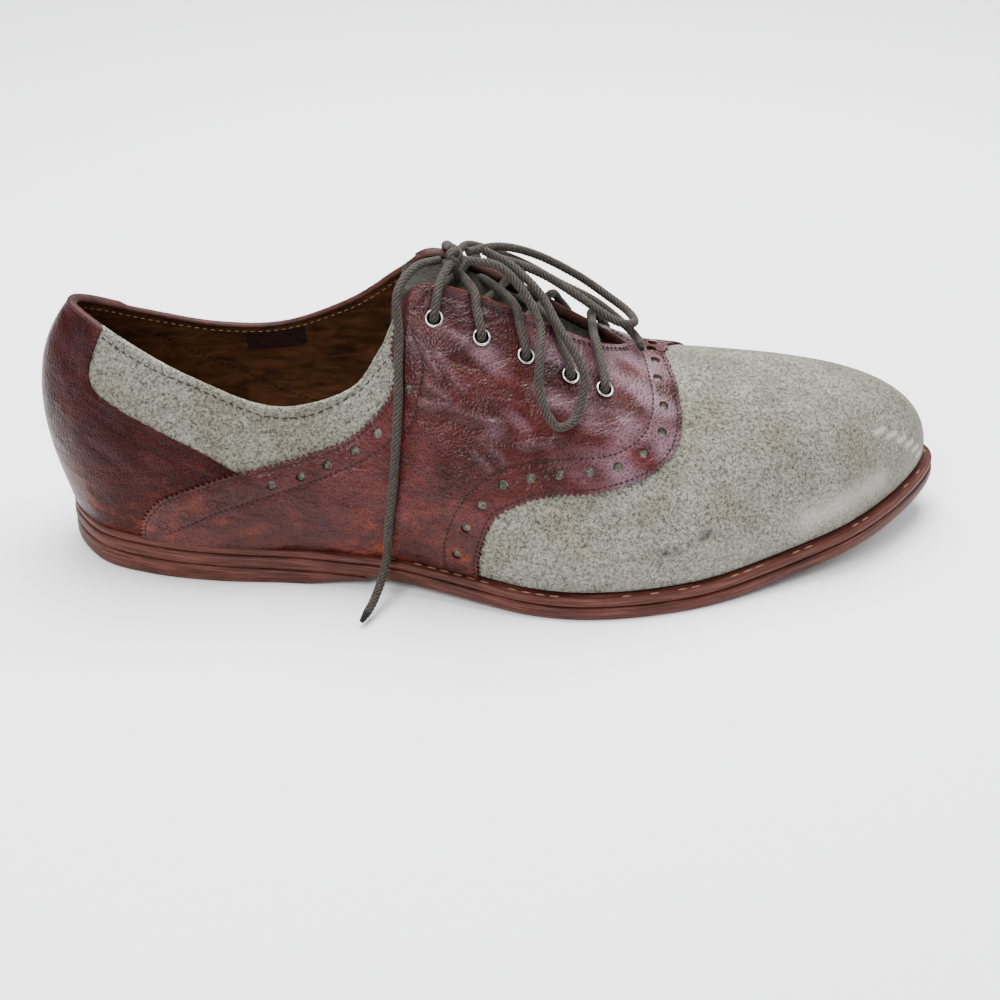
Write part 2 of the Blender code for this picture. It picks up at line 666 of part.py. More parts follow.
def tube(name, points, finish=None):
    """A round cord along the points, welded so that it is one closed body."""
    curve = bpy.data.curves.new(name, "CURVE")
    curve.dimensions = "3D"
    curve.bevel_depth = LACE_DIAMETER / 2
    curve.bevel_resolution = 2
    curve.use_fill_caps = True
    spline = curve.splines.new("POLY")
    spline.points.add(len(points) - 1)
    for point, place in zip(spline.points, points):
        point.co = (*place, 1)
    drawn = bpy.data.objects.new(name + "_line", curve)
    CUTTERS.objects.link(drawn)
    bpy.context.view_layer.update()
    graph = bpy.context.evaluated_depsgraph_get()
    mesh = bpy.data.meshes.new_from_object(drawn.evaluated_get(graph), depsgraph=graph)
    bpy.data.objects.remove(drawn, do_unlink=True)
    shape = bmesh.new()
    shape.from_mesh(mesh)
    bmesh.ops.remove_doubles(shape, verts=shape.verts, dist=1e-6)
    made = add_object(name, mesh_from(name, shape), finish)
    if finish:
        shade(made, 60)
    return made


def crossing(start, end, lift):
    """The way of a lace from one eyelet over both edges of the throat to an eyelet facing it."""
    over_eyelet = PANEL_THICK + 4 * FIT_GAP + FLANGE_THICK + LACE_DIAMETER / 2
    over_edge = over_eyelet + FIT_GAP
    (start_row, start_up), (end_row, end_up) = start, end
    # It has gone a third of the way along the throat at the first edge, and two thirds at the next
    lean = (FACING_ROWS - end_row - start_row) / 3
    first_edge, second_edge = start_row + lean, end_row + lean
    near = lasted(first_edge, 1.0, over_edge)
    far = lasted(second_edge, 1.0, over_edge)
    points = [
        lasted(start_row, start_up, over_eyelet),
        lasted(start_row + lean / 2, (1 + start_up) / 2, over_eyelet),
        near,
        (near + far) / 2 + np.array([0, 0, lift]),
        far,
        lasted(end_row + lean / 2, (1 + end_up) / 2, over_eyelet),
        lasted(end_row, end_up, over_eyelet),
    ]
    return through(points, 2)


def make_crossings():
    lateral, medial = EYELETS["lateral"], EYELETS["medial"]
    last = len(lateral) - 1
    ways = [crossing(lateral[last], medial[last], 0.0)]
    # Of two laces that cross, the upper one rises over the other by a part of its thickness
    for k in range(last, 0, -1):
        ways.append(crossing(lateral[k], medial[k - 1], LACE_DIAMETER / 4))
        ways.append(crossing(lateral[k - 1], medial[k], 0.0))
    joined = tube("lace_crossings", ways[0], "lace")
    for number, way in enumerate(ways[1:], 1):
        boolean(joined, tube(f"lace_way_{number}", way), "UNION")
    shade(joined, 60)
    return joined


def make_free_laces():
    angles = np.linspace(0, 2 * np.pi, 20, endpoint=False)
    centre = Vector(KNOT_AT)
    radius = LACE_DIAMETER / 2
    ring = [(KNOT_RADIUS + radius * math.cos(a), radius * math.sin(a)) for a in angles[::2]]
    knot = turned("lace_knot", ring, 16, Matrix.Translation(centre), "lace")
    lift = PANEL_THICK + 2 * FIT_GAP + radius
    on_saddle = [lasted(row, up, lift) for row, up in NEAR_END_ON_SADDLE]
    return [
        knot,
        tube("lace_loop_near", through(NEAR_LOOP, 2), "lace"),
        tube("lace_loop_far", through(FAR_LOOP, 2), "lace"),
        tube("lace_end_near", through([*NEAR_END_START, *on_saddle, *NEAR_END_TAIL], 2), "lace"),
        tube("lace_end_far", through(FAR_END, 2), "lace"),
    ]


# The frame: the origin is under the middle of the shoe without its free laces

def centre_on_ground(shoe, laces):
    corners = np.array([v.co for obj in shoe for v in obj.data.vertices])
    low, high = corners.min(axis=0), corners.max(axis=0)
    middle = (low + high) / 2
    shift = Matrix.Translation((-middle[0], -middle[1], -low[2]))
    for obj in [*shoe, *laces]:
        obj.data.transform(shift)


clear_scene()
PIECES = collection("saddle_shoe")
CUTTERS = collection("cutters")
FINISHES = {name: material(name) for name in MATERIALS}

sole = make_sole()
upper = make_upper()
saddle = make_saddle()
counter = make_counter()
eyelets = make_eyelets(upper, saddle)
for obj in (upper, saddle, counter):
    shade(obj, 40)
tongue = make_tongue()
crossings = make_crossings()
centre_on_ground([*sole, upper, saddle, counter, *eyelets, tongue, crossings], make_free_laces())
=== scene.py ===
# %% [markdown]
# # A saddle shoe
#
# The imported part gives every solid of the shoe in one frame: X runs to the toe, Y to the inner
# side of the foot, Z up. This lesson dresses it: suede, oxblood leather, stitches, a stacked
# leather sole and a twisted lace, each laid where its solid lies.

# %% Load the part
import math
import random

import bmesh
import bpy
import numpy as np
from mathutils import Matrix, Vector, kdtree, noise


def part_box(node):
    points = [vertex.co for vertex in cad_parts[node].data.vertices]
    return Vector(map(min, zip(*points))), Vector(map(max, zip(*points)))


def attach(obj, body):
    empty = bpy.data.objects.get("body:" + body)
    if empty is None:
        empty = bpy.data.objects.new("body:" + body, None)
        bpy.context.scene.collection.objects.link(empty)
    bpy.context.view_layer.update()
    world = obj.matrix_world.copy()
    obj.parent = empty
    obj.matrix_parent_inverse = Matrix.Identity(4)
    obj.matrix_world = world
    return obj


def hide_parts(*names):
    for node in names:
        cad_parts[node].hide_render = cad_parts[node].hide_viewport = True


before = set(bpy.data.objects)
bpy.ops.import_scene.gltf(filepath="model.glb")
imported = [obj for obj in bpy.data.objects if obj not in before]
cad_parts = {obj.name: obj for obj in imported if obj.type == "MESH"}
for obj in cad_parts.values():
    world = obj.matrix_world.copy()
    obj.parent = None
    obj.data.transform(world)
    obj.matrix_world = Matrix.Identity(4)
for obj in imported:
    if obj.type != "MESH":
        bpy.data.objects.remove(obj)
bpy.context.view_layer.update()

MM = 0.001


def linked(name, data):
    """A new object with this data, in the scene."""
    made = bpy.data.objects.new(name, data)
    bpy.context.scene.collection.objects.link(made)
    return made


# %% [markdown]
# ## The camera
#
# The camera comes first. It stands on the outer side of the shoe, 31 degrees above it, and is
# given as a target, a distance and three angles, in millimetres from the back of the heel.

# %% Camera
HEEL_BACK = Vector((-151.054, 4.76, 0.0))
VIEW_TARGET = Vector((153.1, -31.7, 30.0))
VIEW_DISTANCE = 601.17
VIEW_AROUND, VIEW_ABOVE, VIEW_ROLL = (math.radians(a) for a in (1.39, 31.06, -0.65))
VIEW_LENS = 64.25

backward = Vector((
    math.sin(VIEW_AROUND) * math.cos(VIEW_ABOVE),
    -math.cos(VIEW_AROUND) * math.cos(VIEW_ABOVE),
    math.sin(VIEW_ABOVE),
))
camera = linked("camera", bpy.data.cameras.new("camera"))
camera.data.lens = VIEW_LENS
camera.data.clip_start = 0.01
camera.rotation_mode = "QUATERNION"
turned = backward.to_track_quat("Z", "Y") @ Matrix.Rotation(VIEW_ROLL, 4, "Z").to_quaternion()
camera.rotation_quaternion = turned
camera.location = (HEEL_BACK + VIEW_TARGET + backward * VIEW_DISTANCE) * MM
bpy.context.scene.camera = camera
print("camera at", [round(c, 3) for c in camera.location])

# %% [markdown]
# ## The last
#
# A shoe is drawn on a last, a solid foot. Here the last is a set of ribs that rise from the
# sole's edge to the opening. A place on it is a pair: row counts ribs from the heel back, round
# the outer side to the toe and back along the inner side, and up runs from 0 at the sole to 1 at
# the opening. The table is the part's own, so what is laid on it here fits the solids.

# %% The ribs
LENGTH, BALL_WIDTH, UPPER_HEIGHT = 0.308, 0.112, 0.074
WELT_MARGIN, HEEL_LIFT, TOE_SPRING = 0.004, 0.0075, 0.014
OUTSOLE_THICK, WELT_THICK, FIT_GAP = 0.0046, 0.003, 0.0003
LAST_COLUMNS = (
    "sole_x", "sole_y", "margin", "open_x", "open_y", "open_z",
    "low_out", "low_up", "reach", "high_out", "high_down",
)
LAST_ROWS = np.array((
    (0.000, 0.000, 0.4, 0.029, 0.000, 1.000, 0.05, 0.30, 0.00, 0.18, 0.30),
    (0.039, -0.200, 0.5, 0.042, -0.063, 0.986, 0.04, 0.30, 0.00, 0.14, 0.30),
    (0.103, -0.288, 0.6, 0.098, -0.170, 0.899, 0.04, 0.28, 0.00, 0.10, 0.28),
    (0.182, -0.329, 0.7, 0.169, -0.228, 0.764, 0.04, 0.24, 0.00, 0.06, 0.22),
    (0.260, -0.339, 0.8, 0.256, -0.250, 0.635, 0.04, 0.20, 0.00, 0.05, 0.18),
    (0.334, -0.362, 0.9, 0.334, -0.219, 0.696, 0.05, 0.22, 0.00, 0.10, 0.20),
    (0.383, -0.384, 1.0, 0.369, -0.183, 0.865, 0.05, 0.26, 0.00, 0.14, 0.28),
    (0.429, -0.424, 1.0, 0.394, -0.139, 1.065, 0.05, 0.30, 0.00, 0.18, 0.36),
    (0.477, -0.471, 1.0, 0.419, -0.116, 1.149, 0.05, 0.30, 0.00, 0.22, 0.34),
    (0.529, -0.513, 1.0, 0.477, -0.098, 1.074, 0.04, 0.28, 0.10, 0.21, 0.26),
    (0.591, -0.534, 1.0, 0.545, -0.071, 0.919, 0.03, 0.27, 0.30, 0.13, 0.16),
    (0.659, -0.513, 1.0, 0.597, -0.036, 0.804, 0.03, 0.27, 0.50, 0.05, 0.11),
    (0.734, -0.451, 1.0, 0.623, 0.009, 0.750, 0.03, 0.28, 0.60, 0.00, 0.09),
    (0.818, -0.344, 1.0, 0.631, 0.033, 0.733, 0.03, 0.31, 0.64, 0.00, 0.10),
    (0.899, -0.228, 1.0, 0.634, 0.042, 0.728, 0.03, 0.34, 0.67, 0.00, 0.11),
    (0.964, -0.052, 1.0, 0.636, 0.046, 0.726, 0.03, 0.37, 0.70, 0.00, 0.12),
    (1.000, 0.128, 1.0, 0.637, 0.050, 0.726, 0.03, 0.39, 0.71, 0.00, 0.12),
    (0.984, 0.268, 1.0, 0.636, 0.054, 0.726, 0.04, 0.40, 0.71, 0.00, 0.13),
    (0.934, 0.360, 1.0, 0.634, 0.060, 0.728, 0.04, 0.37, 0.69, 0.00, 0.14),
    (0.858, 0.422, 1.0, 0.631, 0.068, 0.733, 0.04, 0.32, 0.62, 0.00, 0.14),
    (0.772, 0.449, 1.0, 0.622, 0.082, 0.750, 0.03, 0.28, 0.55, 0.00, 0.15),
    (0.690, 0.435, 1.0, 0.595, 0.106, 0.804, 0.03, 0.26, 0.48, 0.02, 0.16),
    (0.610, 0.375, 1.0, 0.543, 0.125, 0.919, 0.04, 0.28, 0.30, 0.08, 0.18),
    (0.532, 0.308, 1.0, 0.475, 0.136, 1.074, 0.06, 0.30, 0.10, 0.13, 0.26),
    (0.462, 0.262, 1.0, 0.422, 0.134, 1.149, 0.08, 0.32, 0.00, 0.13, 0.34),
    (0.395, 0.244, 1.0, 0.385, 0.155, 1.050, 0.09, 0.32, 0.00, 0.12, 0.32),
    (0.330, 0.252, 0.9, 0.328, 0.195, 0.870, 0.08, 0.28, 0.00, 0.08, 0.26),
    (0.250, 0.280, 0.8, 0.248, 0.238, 0.720, 0.05, 0.24, 0.00, 0.04, 0.20),
    (0.178, 0.295, 0.7, 0.172, 0.225, 0.725, 0.05, 0.26, 0.00, 0.06, 0.22),
    (0.101, 0.268, 0.6, 0.097, 0.165, 0.830, 0.04, 0.28, 0.00, 0.09, 0.28),
    (0.037, 0.190, 0.5, 0.042, 0.063, 0.965, 0.04, 0.30, 0.00, 0.14, 0.30),
))
ROWS = len(LAST_ROWS)
# The outsole's underside: x share, then its height as shares of the heel lift and the toe spring
SIDE_PROFILE = np.array((
    (-0.20, 1.10, 0.00), (0.00, 1.00, 0.00), (0.26, 0.74, 0.00), (0.35, 0.62, 0.00),
    (0.45, 0.34, 0.00), (0.56, 0.00, 0.00), (0.70, 0.00, 0.00), (0.80, 0.00, 0.20),
    (0.90, 0.00, 0.58), (1.00, 0.00, 1.00), (1.20, 0.00, 2.00),
))
BREAST_START, BREAST_END = 0.275, 0.350
BREAST_EDGE = 0.0008
print(ROWS, "ribs of", len(LAST_COLUMNS), "measures")


# %% [markdown]
# Smooth curves are read through the rows of the table. A rib itself is a Bezier curve: it leaves
# the sole in one direction and arrives at the opening from another.

# %% Curves through the table
def catmull_rom(points, step):
    """The smooth curve between the middle two of four points."""
    before, start, end, after = points
    return 0.5 * (
        2 * start
        + (end - before) * step
        + (2 * before - 5 * start + 4 * end - after) * step**2
        + (3 * start - before - 3 * end + after) * step**3
    )


def round_values(values, at):
    """Values of a closed table at places counted in its rows."""
    first = np.floor(at).astype(int)
    step = (at - first)[..., None]
    return catmull_rom([values[(first + k) % len(values)] for k in (-1, 0, 1, 2)], step)


def through(points, steps):
    """A smooth open curve through the points, with this many steps between each two."""
    points = np.asarray(points, float)
    padded = np.vstack([2 * points[0] - points[1], points, 2 * points[-1] - points[-2]])
    places = [
        catmull_rom(padded[k : k + 4], s / steps)
        for k in range(len(points) - 1)
        for s in range(steps)
    ]
    return np.array(places + [points[-1]])


def columns(names, sizes):
    """Columns of the last's table, each times the size that it is a share of."""
    picked = [LAST_ROWS[:, LAST_COLUMNS.index(name)] * size for name, size in zip(names, sizes)]
    return np.column_stack(picked)


SOLE_TABLE = columns(("sole_x", "sole_y"), (LENGTH, BALL_WIDTH))
MARGIN_TABLE = columns(("margin",), (WELT_MARGIN,))
OPENING_TABLE = columns(("open_x", "open_y", "open_z"), (LENGTH, BALL_WIDTH, UPPER_HEIGHT))
HANDLE_TABLE = columns(
    ("low_out", "low_up", "reach", "high_out", "high_down"),
    (BALL_WIDTH, UPPER_HEIGHT, 1.0, BALL_WIDTH, UPPER_HEIGHT),
)


def sole_edge(row):
    """The sole's outline from above, in metres from the heel back."""
    return round_values(SOLE_TABLE, np.asarray(row, float))


def sole_outward(row):
    """The level direction out of the sole, square to its outline."""
    row = np.asarray(row, float)
    along = sole_edge(row + 0.06) - sole_edge(row - 0.06)
    outward = np.stack([along[..., 1], -along[..., 0]], -1)
    return outward / np.linalg.norm(outward, axis=-1, keepdims=True)


def underside(x):
    """Height of the outsole's underside: a smooth curve that never overshoots its table."""
    places = SIDE_PROFILE[:, 0]
    heights = SIDE_PROFILE[:, 1] * HEEL_LIFT + SIDE_PROFILE[:, 2] * TOE_SPRING
    slopes = np.diff(heights) / np.diff(places)
    before, after = slopes[:-1], slopes[1:]
    total = np.where(before * after > 0, before + after, 1.0)
    tangents = np.where(before * after > 0, 2 * before * after / total, 0.0)
    tangents = np.concatenate([slopes[:1], tangents, slopes[-1:]])
    at = np.asarray(x, float) / LENGTH
    k = np.clip(np.searchsorted(places, at) - 1, 0, len(places) - 2)
    width = places[k + 1] - places[k]
    s = (at - places[k]) / width
    return (
        (1 + 2 * s) * (1 - s) ** 2 * heights[k]
        + s * (1 - s) ** 2 * width * tangents[k]
        + s**2 * (3 - 2 * s) * heights[k + 1]
        + s**2 * (s - 1) * width * tangents[k + 1]
    )


def seat(x):
    """Height of the welt's top and the gap on it, where the upper starts."""
    return underside(x) + OUTSOLE_THICK + WELT_THICK + FIT_GAP


def skin(row, up):
    """The upper's outer surface, in metres from the heel back."""
    row = np.asarray(row, float)
    up = np.asarray(up, float)[..., None]
    outward = sole_outward(row)
    foot = sole_edge(row) - outward * round_values(MARGIN_TABLE, row)
    foot = np.concatenate([foot, seat(foot[..., 0])[..., None]], -1)
    opening = round_values(OPENING_TABLE, row) + np.array([0, 0, seat(0.0)])
    handles = round_values(HANDLE_TABLE, row)
    low_out, low_up, reach, high_out, high_down = (handles[..., k : k + 1] for k in range(5))
    outward = np.concatenate([outward, np.zeros_like(outward[..., :1])], -1)
    upward = np.array([0, 0, 1.0])
    leaving = foot + outward * low_out + upward * low_up
    level = (foot - opening) * np.array([1, 1, 0])
    arriving = opening + level * reach + outward * high_out - upward * high_down
    return (
        (1 - up) ** 3 * foot
        + 3 * (1 - up) ** 2 * up * leaving
        + 3 * (1 - up) * up**2 * arriving
        + up**3 * opening
    )


def slopes(row, up):
    """How the surface moves per row and per up."""
    row, up = np.asarray(row, float), np.asarray(up, float)
    around = (skin(row + 0.03, up) - skin(row - 0.03, up)) / 0.06
    rising = (skin(row, up + 0.005) - skin(row, up - 0.005)) / 0.01
    return around, rising


def unit(vectors):
    """The same directions, each of length 1."""
    return vectors / np.linalg.norm(vectors, axis=-1, keepdims=True)


def skin_outward(row, up):
    """The direction out of the upper, square to its surface."""
    return unit(np.cross(*slopes(row, up)))


outsole_low, outsole_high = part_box("outsole")
edge = sole_edge(np.linspace(0, ROWS, 2000))
SHIFT = np.array([
    (outsole_low.x + outsole_high.x - edge[:, 0].min() - edge[:, 0].max()) / 2,
    (outsole_low.y + outsole_high.y - edge[:, 1].min() - edge[:, 1].max()) / 2,
    0.0,
])
print("the heel back is at", SHIFT.round(5), "and the toe cap's top at", skin(16.0, 0.5).round(3))


# %% [markdown]
# Seams, teeth and punched holes have sizes in millimetres, but a place on the last is a row and an
# up. These helpers turn one into the other: a move in space that lies on the surface becomes a
# move in row and up, a curve gets a neighbour at a set distance, and places come evenly along it.

# %% Millimetres on the last
def step(row, up, move):
    """The change in row and up that moves a place by this vector on the surface."""
    around, rising = slopes(row, up)
    a, b, c = (around * around).sum(-1), (around * rising).sum(-1), (rising * rising).sum(-1)
    p, q = (around * move).sum(-1), (rising * move).sum(-1)
    det = a * c - b * b
    return np.stack([(c * p - b * q) / det, (a * q - b * p) / det], -1)


def beside(line, distance):
    """The curve at this distance to the left of a curve, seen from outside."""
    row, up = line.T
    along = unit(np.gradient(skin(row, up), axis=0))
    left = np.cross(skin_outward(row, up), along)
    return line + step(row, up, left * np.reshape(distance, (-1, 1)))


def reach_of(spots):
    """How far each point lies along its line, in metres from the first."""
    return np.concatenate([[0], np.cumsum(np.linalg.norm(np.diff(spots, axis=0), axis=1))])


def evenly(line, pitch, start=0.0):
    """Places along a curve, this far apart in metres."""
    reach = reach_of(skin(*line.T))
    count = max(2, int((reach[-1] - start) / pitch) + 1)
    at = start + (reach[-1] - start) * np.arange(count) / (count - 1)
    return np.column_stack([np.interp(at, reach, line[:, k]) for k in (0, 1)])


def ring_of(first, second, sides):
    """Places round a unit circle that is spanned by two directions."""
    angles = 2 * np.pi * np.arange(sides) / sides
    return np.cos(angles)[:, None] * first + np.sin(angles)[:, None] * second


def circle_on_skin(row, up, radius, sides):
    """A circle laid on the upper, as rows and ups."""
    around, rising = slopes(row, up)
    first = unit(around)
    second = np.cross(unit(np.cross(around, rising)), first)
    ring = radius * ring_of(first, second, sides)
    return np.array([row, up]) + step(np.full(sides, row), np.full(sides, up), ring)


def medial_row(row):
    """The inner rib that faces an outer one."""
    far = (ROWS + 6.0, ROWS, ROWS - 6.0, ROWS - 7.0, 16.0)
    return np.interp(row, (-6.0, 0.0, 6.0, 8.0, 16.0), far)


def mirrored(line):
    """The inner side's copy of an outer curve, running the other way."""
    line = np.asarray(line)[::-1]
    return np.column_stack([medial_row(line[:, 0]), line[:, 1]])


def sampled(row, up, height=0.0):
    """A place on the shoe, in the part's frame."""
    return skin(row, up) + skin_outward(row, up) * np.reshape(height, (-1, 1)) + SHIFT


print("one row at the ball is", round(float(np.linalg.norm(slopes(10.0, 0.2)[0])) / MM, 1), "mm")

# %% [markdown]
# ## Tools for pieces and finishes
#
# Colours are written as hex, as on a leather swatch card, and turned to linear light. One helper
# adds a node, one puts a piece in the scene with its finish, its body and the solids that it
# stands for.

# %% Piece and node helpers
random.seed(11)


def tone(code):
    """A colour written as hex, in linear light."""
    values = [int(code[k : k + 2], 16) / 255 for k in (1, 3, 5)]
    return (*(v / 12.92 if v <= 0.04045 else ((v + 0.055) / 1.055) ** 2.4 for v in values), 1.0)


def node(tree, kind, inputs=None, stops=None, **settings):
    """Adds a node. Inputs are values or the outputs of other nodes, and stops are a ramp's."""
    made = tree.nodes.new("ShaderNode" + kind)
    for name, value in settings.items():
        setattr(made, name, value)
    for name, value in (inputs or {}).items():
        if isinstance(value, bpy.types.NodeSocket):
            tree.links.new(value, made.inputs[name])
        else:
            made.inputs[name].default_value = value
    for k, (place, color) in enumerate(stops or ()):
        ramp = made.color_ramp.elements
        stop = ramp[k] if k < len(ramp) else ramp.new(place)
        stop.position, stop.color = place, color
    return made


def cells_of(size):
    """The scale of a pattern whose cells are this many millimetres across."""
    return 1 / (size * MM)


def new_material(name, **shader_values):
    """A material and its tree. Values that are the same all over sit on the shader itself."""
    made = bpy.data.materials.new(name)
    made.use_nodes = True
    shader = made.node_tree.nodes["Principled BSDF"]
    for socket, value in shader_values.items():
        shader.inputs[socket.replace("_", " ")].default_value = value
    return made, made.node_tree, shader


def mesh_of(name, shape):
    """Turns a bmesh into a mesh, and frees it."""
    mesh = bpy.data.meshes.new(name)
    shape.to_mesh(mesh)
    shape.free()
    return mesh


def add_shape(whole, shape):
    """Adds one bmesh to another, and frees it."""
    mesh = mesh_of("one", shape)
    whole.from_mesh(mesh)
    bpy.data.meshes.remove(mesh)


def place_mesh(name, shape, finish, nodes=(), crisp=40):
    """Makes the piece from a bmesh, smooth except at edges sharper than the crisp angle."""
    limit = math.radians(crisp)
    for face in shape.faces:
        face.smooth = True
    for one in shape.edges:
        one.smooth = len(one.link_faces) == 2 and one.calc_face_angle(0.0) < limit
    piece = linked(name, mesh_of(name, shape))
    piece.data.materials.append(finish)
    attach(piece, "root")
    if nodes:
        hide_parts(*nodes)
    print(f"{name}: {len(piece.data.polygons)} faces")
    return piece


def fraction(value):
    """The value, held between 0 and 1."""
    return np.clip(value, 0, 1)


def applied(obj):
    """The mesh of an object with its modifiers applied."""
    bpy.context.view_layer.update()
    graph = bpy.context.evaluated_depsgraph_get()
    return bpy.data.meshes.new_from_object(obj.evaluated_get(graph), depsgraph=graph)


def grid_of(points, wrap=False, uv=None):
    """A grid whose corners are placed one by one. A wrapped one closes on itself across."""
    points = np.asarray(points)
    count, across = points.shape[:2]
    columns_used = across if wrap else across - 1
    shape = bmesh.new()
    bmesh.ops.create_grid(shape, x_segments=columns_used, y_segments=count - 1, size=1.0)
    corners = np.array([v.co for v in shape.verts])
    i = np.rint((corners[:, 1] + 1) / 2 * (count - 1)).astype(int)
    j = np.rint((corners[:, 0] + 1) / 2 * columns_used).astype(int)
    if uv is not None:
        layer = shape.loops.layers.uv.new("along_and_up")
        shape.verts.index_update()
        for face in shape.faces:
            for loop in face.loops:
                k = loop.vert.index
                loop[layer].uv = uv[i[k], j[k]]
    for vert, place in zip(shape.verts, points[i, j % across]):
        vert.co = place
    bmesh.ops.remove_doubles(shape, verts=shape.verts, dist=1e-6)
    return shape


def closed_up(shape):
    """Fills what is open, and turns every face outwards."""
    bmesh.ops.holes_fill(shape, edges=[e for e in shape.edges if e.is_boundary])
    bmesh.ops.recalc_face_normals(shape, faces=shape.faces)
    return shape


print("quick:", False)

# %% [markdown]
# ## Light and floor
#
# The photograph is lit like a catalogue page: a large soft light from above and in front, hardly
# any shadow, and a white ground. The floor is a wide pale sheet.

# %% Studio
world = bpy.data.worlds.new("studio")
bpy.context.scene.world = world
world.use_nodes = True
background = world.node_tree.nodes["Background"]
background.inputs["Color"].default_value = (0.93, 0.96, 1.0, 1.0)
background.inputs["Strength"].default_value = 0.75

# The floor lies a hair below the sole, so that no two faces share one plane
FLOOR_SIZE, FLOOR_DROP = 4.0, 0.0002
floor_shape = bmesh.new()
bmesh.ops.create_grid(floor_shape, x_segments=1, y_segments=1, size=FLOOR_SIZE)
floor = linked("floor", mesh_of("floor", floor_shape))
floor.location.z = -FLOOR_DROP
paper, paper_tree, paper_shader = new_material("white_paper_ground", Roughness=0.9)
paper_shader.inputs["Base Color"].default_value = tone("#f7f7f7")
paper_place = node(paper_tree, "TexCoord").outputs["Object"]
paper_grain = node(
    paper_tree, "TexNoise", {"Vector": paper_place, "Scale": cells_of(2.5), "Detail": 3.0},
)
paper_bump = node(paper_tree, "Bump", {"Height": paper_grain.outputs["Fac"], "Strength": 0.02})
paper_tree.links.new(paper_bump.outputs["Normal"], paper_shader.inputs["Normal"])
floor.data.materials.append(paper)

# Name, place, side of the square in metres, watts
LIGHTS = (
    ("overhead", (0.0, 0.30, 0.95), 0.8, 32.0),
    ("front", (-0.45, -0.85, 0.95), 0.5, 15.0),
    ("toe side", (0.95, 0.15, 0.7), 0.5, 5.0),
)
LIT_PLACE = Vector((0.0, 0.0, 0.04))
for name, place, size, power in LIGHTS:
    data = bpy.data.lights.new(name, "AREA")
    data.shape, data.size, data.energy = "SQUARE", size, power
    lamp = linked(name, data)
    lamp.location = place
    lamp.rotation_mode = "QUATERNION"
    lamp.rotation_quaternion = (LIT_PLACE - Vector(place)).to_track_quat("-Z", "Y")
print(len(LIGHTS), "lights")

# %% [markdown]
# ## Finishes: suede
#
# Suede is the flesh side of a hide, buffed until its fibres stand up. It has no gloss, a light
# sheen at grazing angles, and a mottle of lighter and darker fibres about half a millimetre
# across. Wear shows as paler rubbed places and as smudges, which come from two painted
# attributes, "chalk" and "smudge".

# %% Suede
def suede_material(name, dark, light, pale):
    """Suede: fibres, brushed strokes and clouds, then the painted wear."""
    made, tree, shader = new_material(
        name, Roughness=0.95, Specular_IOR_Level=0.08, Sheen_Weight=0.06, Sheen_Roughness=0.5,
    )
    place = node(tree, "TexCoord").outputs["Object"]
    # The nap lies in short strokes, longer than they are wide
    lain = node(
        tree, "Mapping",
        {"Vector": place, "Rotation": (0.0, 0.3, 0.5),
         "Scale": (cells_of(9.0), cells_of(4.0), cells_of(3.5))},
    )
    # Fibres are finer than this: half a millimetre is what the picture can still show
    fibre, tuft, strokes, clouds = (
        node(
            tree, "TexNoise",
            {"Vector": vector, "Scale": scale, "Detail": detail, "Roughness": rough,
             "Distortion": bent},
        ).outputs["Fac"]
        for vector, scale, detail, rough, bent in (
            (place, cells_of(0.5), 2.0, 0.6, 0.0), (place, cells_of(1.1), 3.0, 0.65, 0.0),
            (lain.outputs["Vector"], 1.0, 3.0, 0.6, 0.8), (place, cells_of(24.0), 3.0, 0.6, 0.0),
        )
    )
    grains = node(tree, "Mix", {0: 0.55, 2: fibre, 3: tuft}).outputs[0]
    middle = tuple((a + b) / 2 for a, b in zip(dark, light))
    color, brushed, stained = (
        node(tree, "ValToRGB", {"Fac": value}, stops=stops).outputs["Color"]
        for value, stops in (
            (grains, ((0.39, dark), (0.49, middle), (0.60, light))),
            (strokes, (
                (0.34, (0.86, 0.85, 0.83, 1)), (0.5, (1, 1, 1, 1)), (0.66, (1.14, 1.15, 1.15, 1)),
            )),
            (clouds, (
                (0.36, (0.86, 0.82, 0.76, 1)), (0.5, (0.98, 0.98, 0.98, 1)),
                (0.64, (1.13, 1.15, 1.17, 1)),
            )),
        )
    )
    chalk = node(tree, "Attribute", attribute_name="chalk").outputs["Fac"]
    smudge = node(tree, "Attribute", attribute_name="smudge").outputs["Fac"]
    for amount, coat, blend in (
        (1.0, brushed, "MULTIPLY"), (1.0, stained, "MULTIPLY"), (chalk, pale, "MIX"),
        (smudge, tone("#2b2824"), "MIX"),
    ):
        color = node(
            tree, "Mix", {0: amount, 6: color, 7: coat}, data_type="RGBA", blend_type=blend,
        ).outputs[2]
    tree.links.new(color, shader.inputs["Base Color"])
    nap = node(tree, "Bump", {"Height": grains, "Strength": 0.8, "Distance": 0.0008})
    tree.links.new(nap.outputs["Normal"], shader.inputs["Normal"])
    return made


# Taupe, matt and mottled, rubbed to a pale grey where it has worn
SUEDE = suede_material("buffed_taupe_suede", tone("#3a3831"), tone("#878579"), tone("#adaca5"))
# The tongue's is thin, and dark in the shade of the throat
TONGUE_SUEDE = suede_material("thin_grey_suede", tone("#0f0f0c"), tone("#2d2d27"), tone("#6f7066"))
print("suede:", len(SUEDE.node_tree.nodes), "nodes")
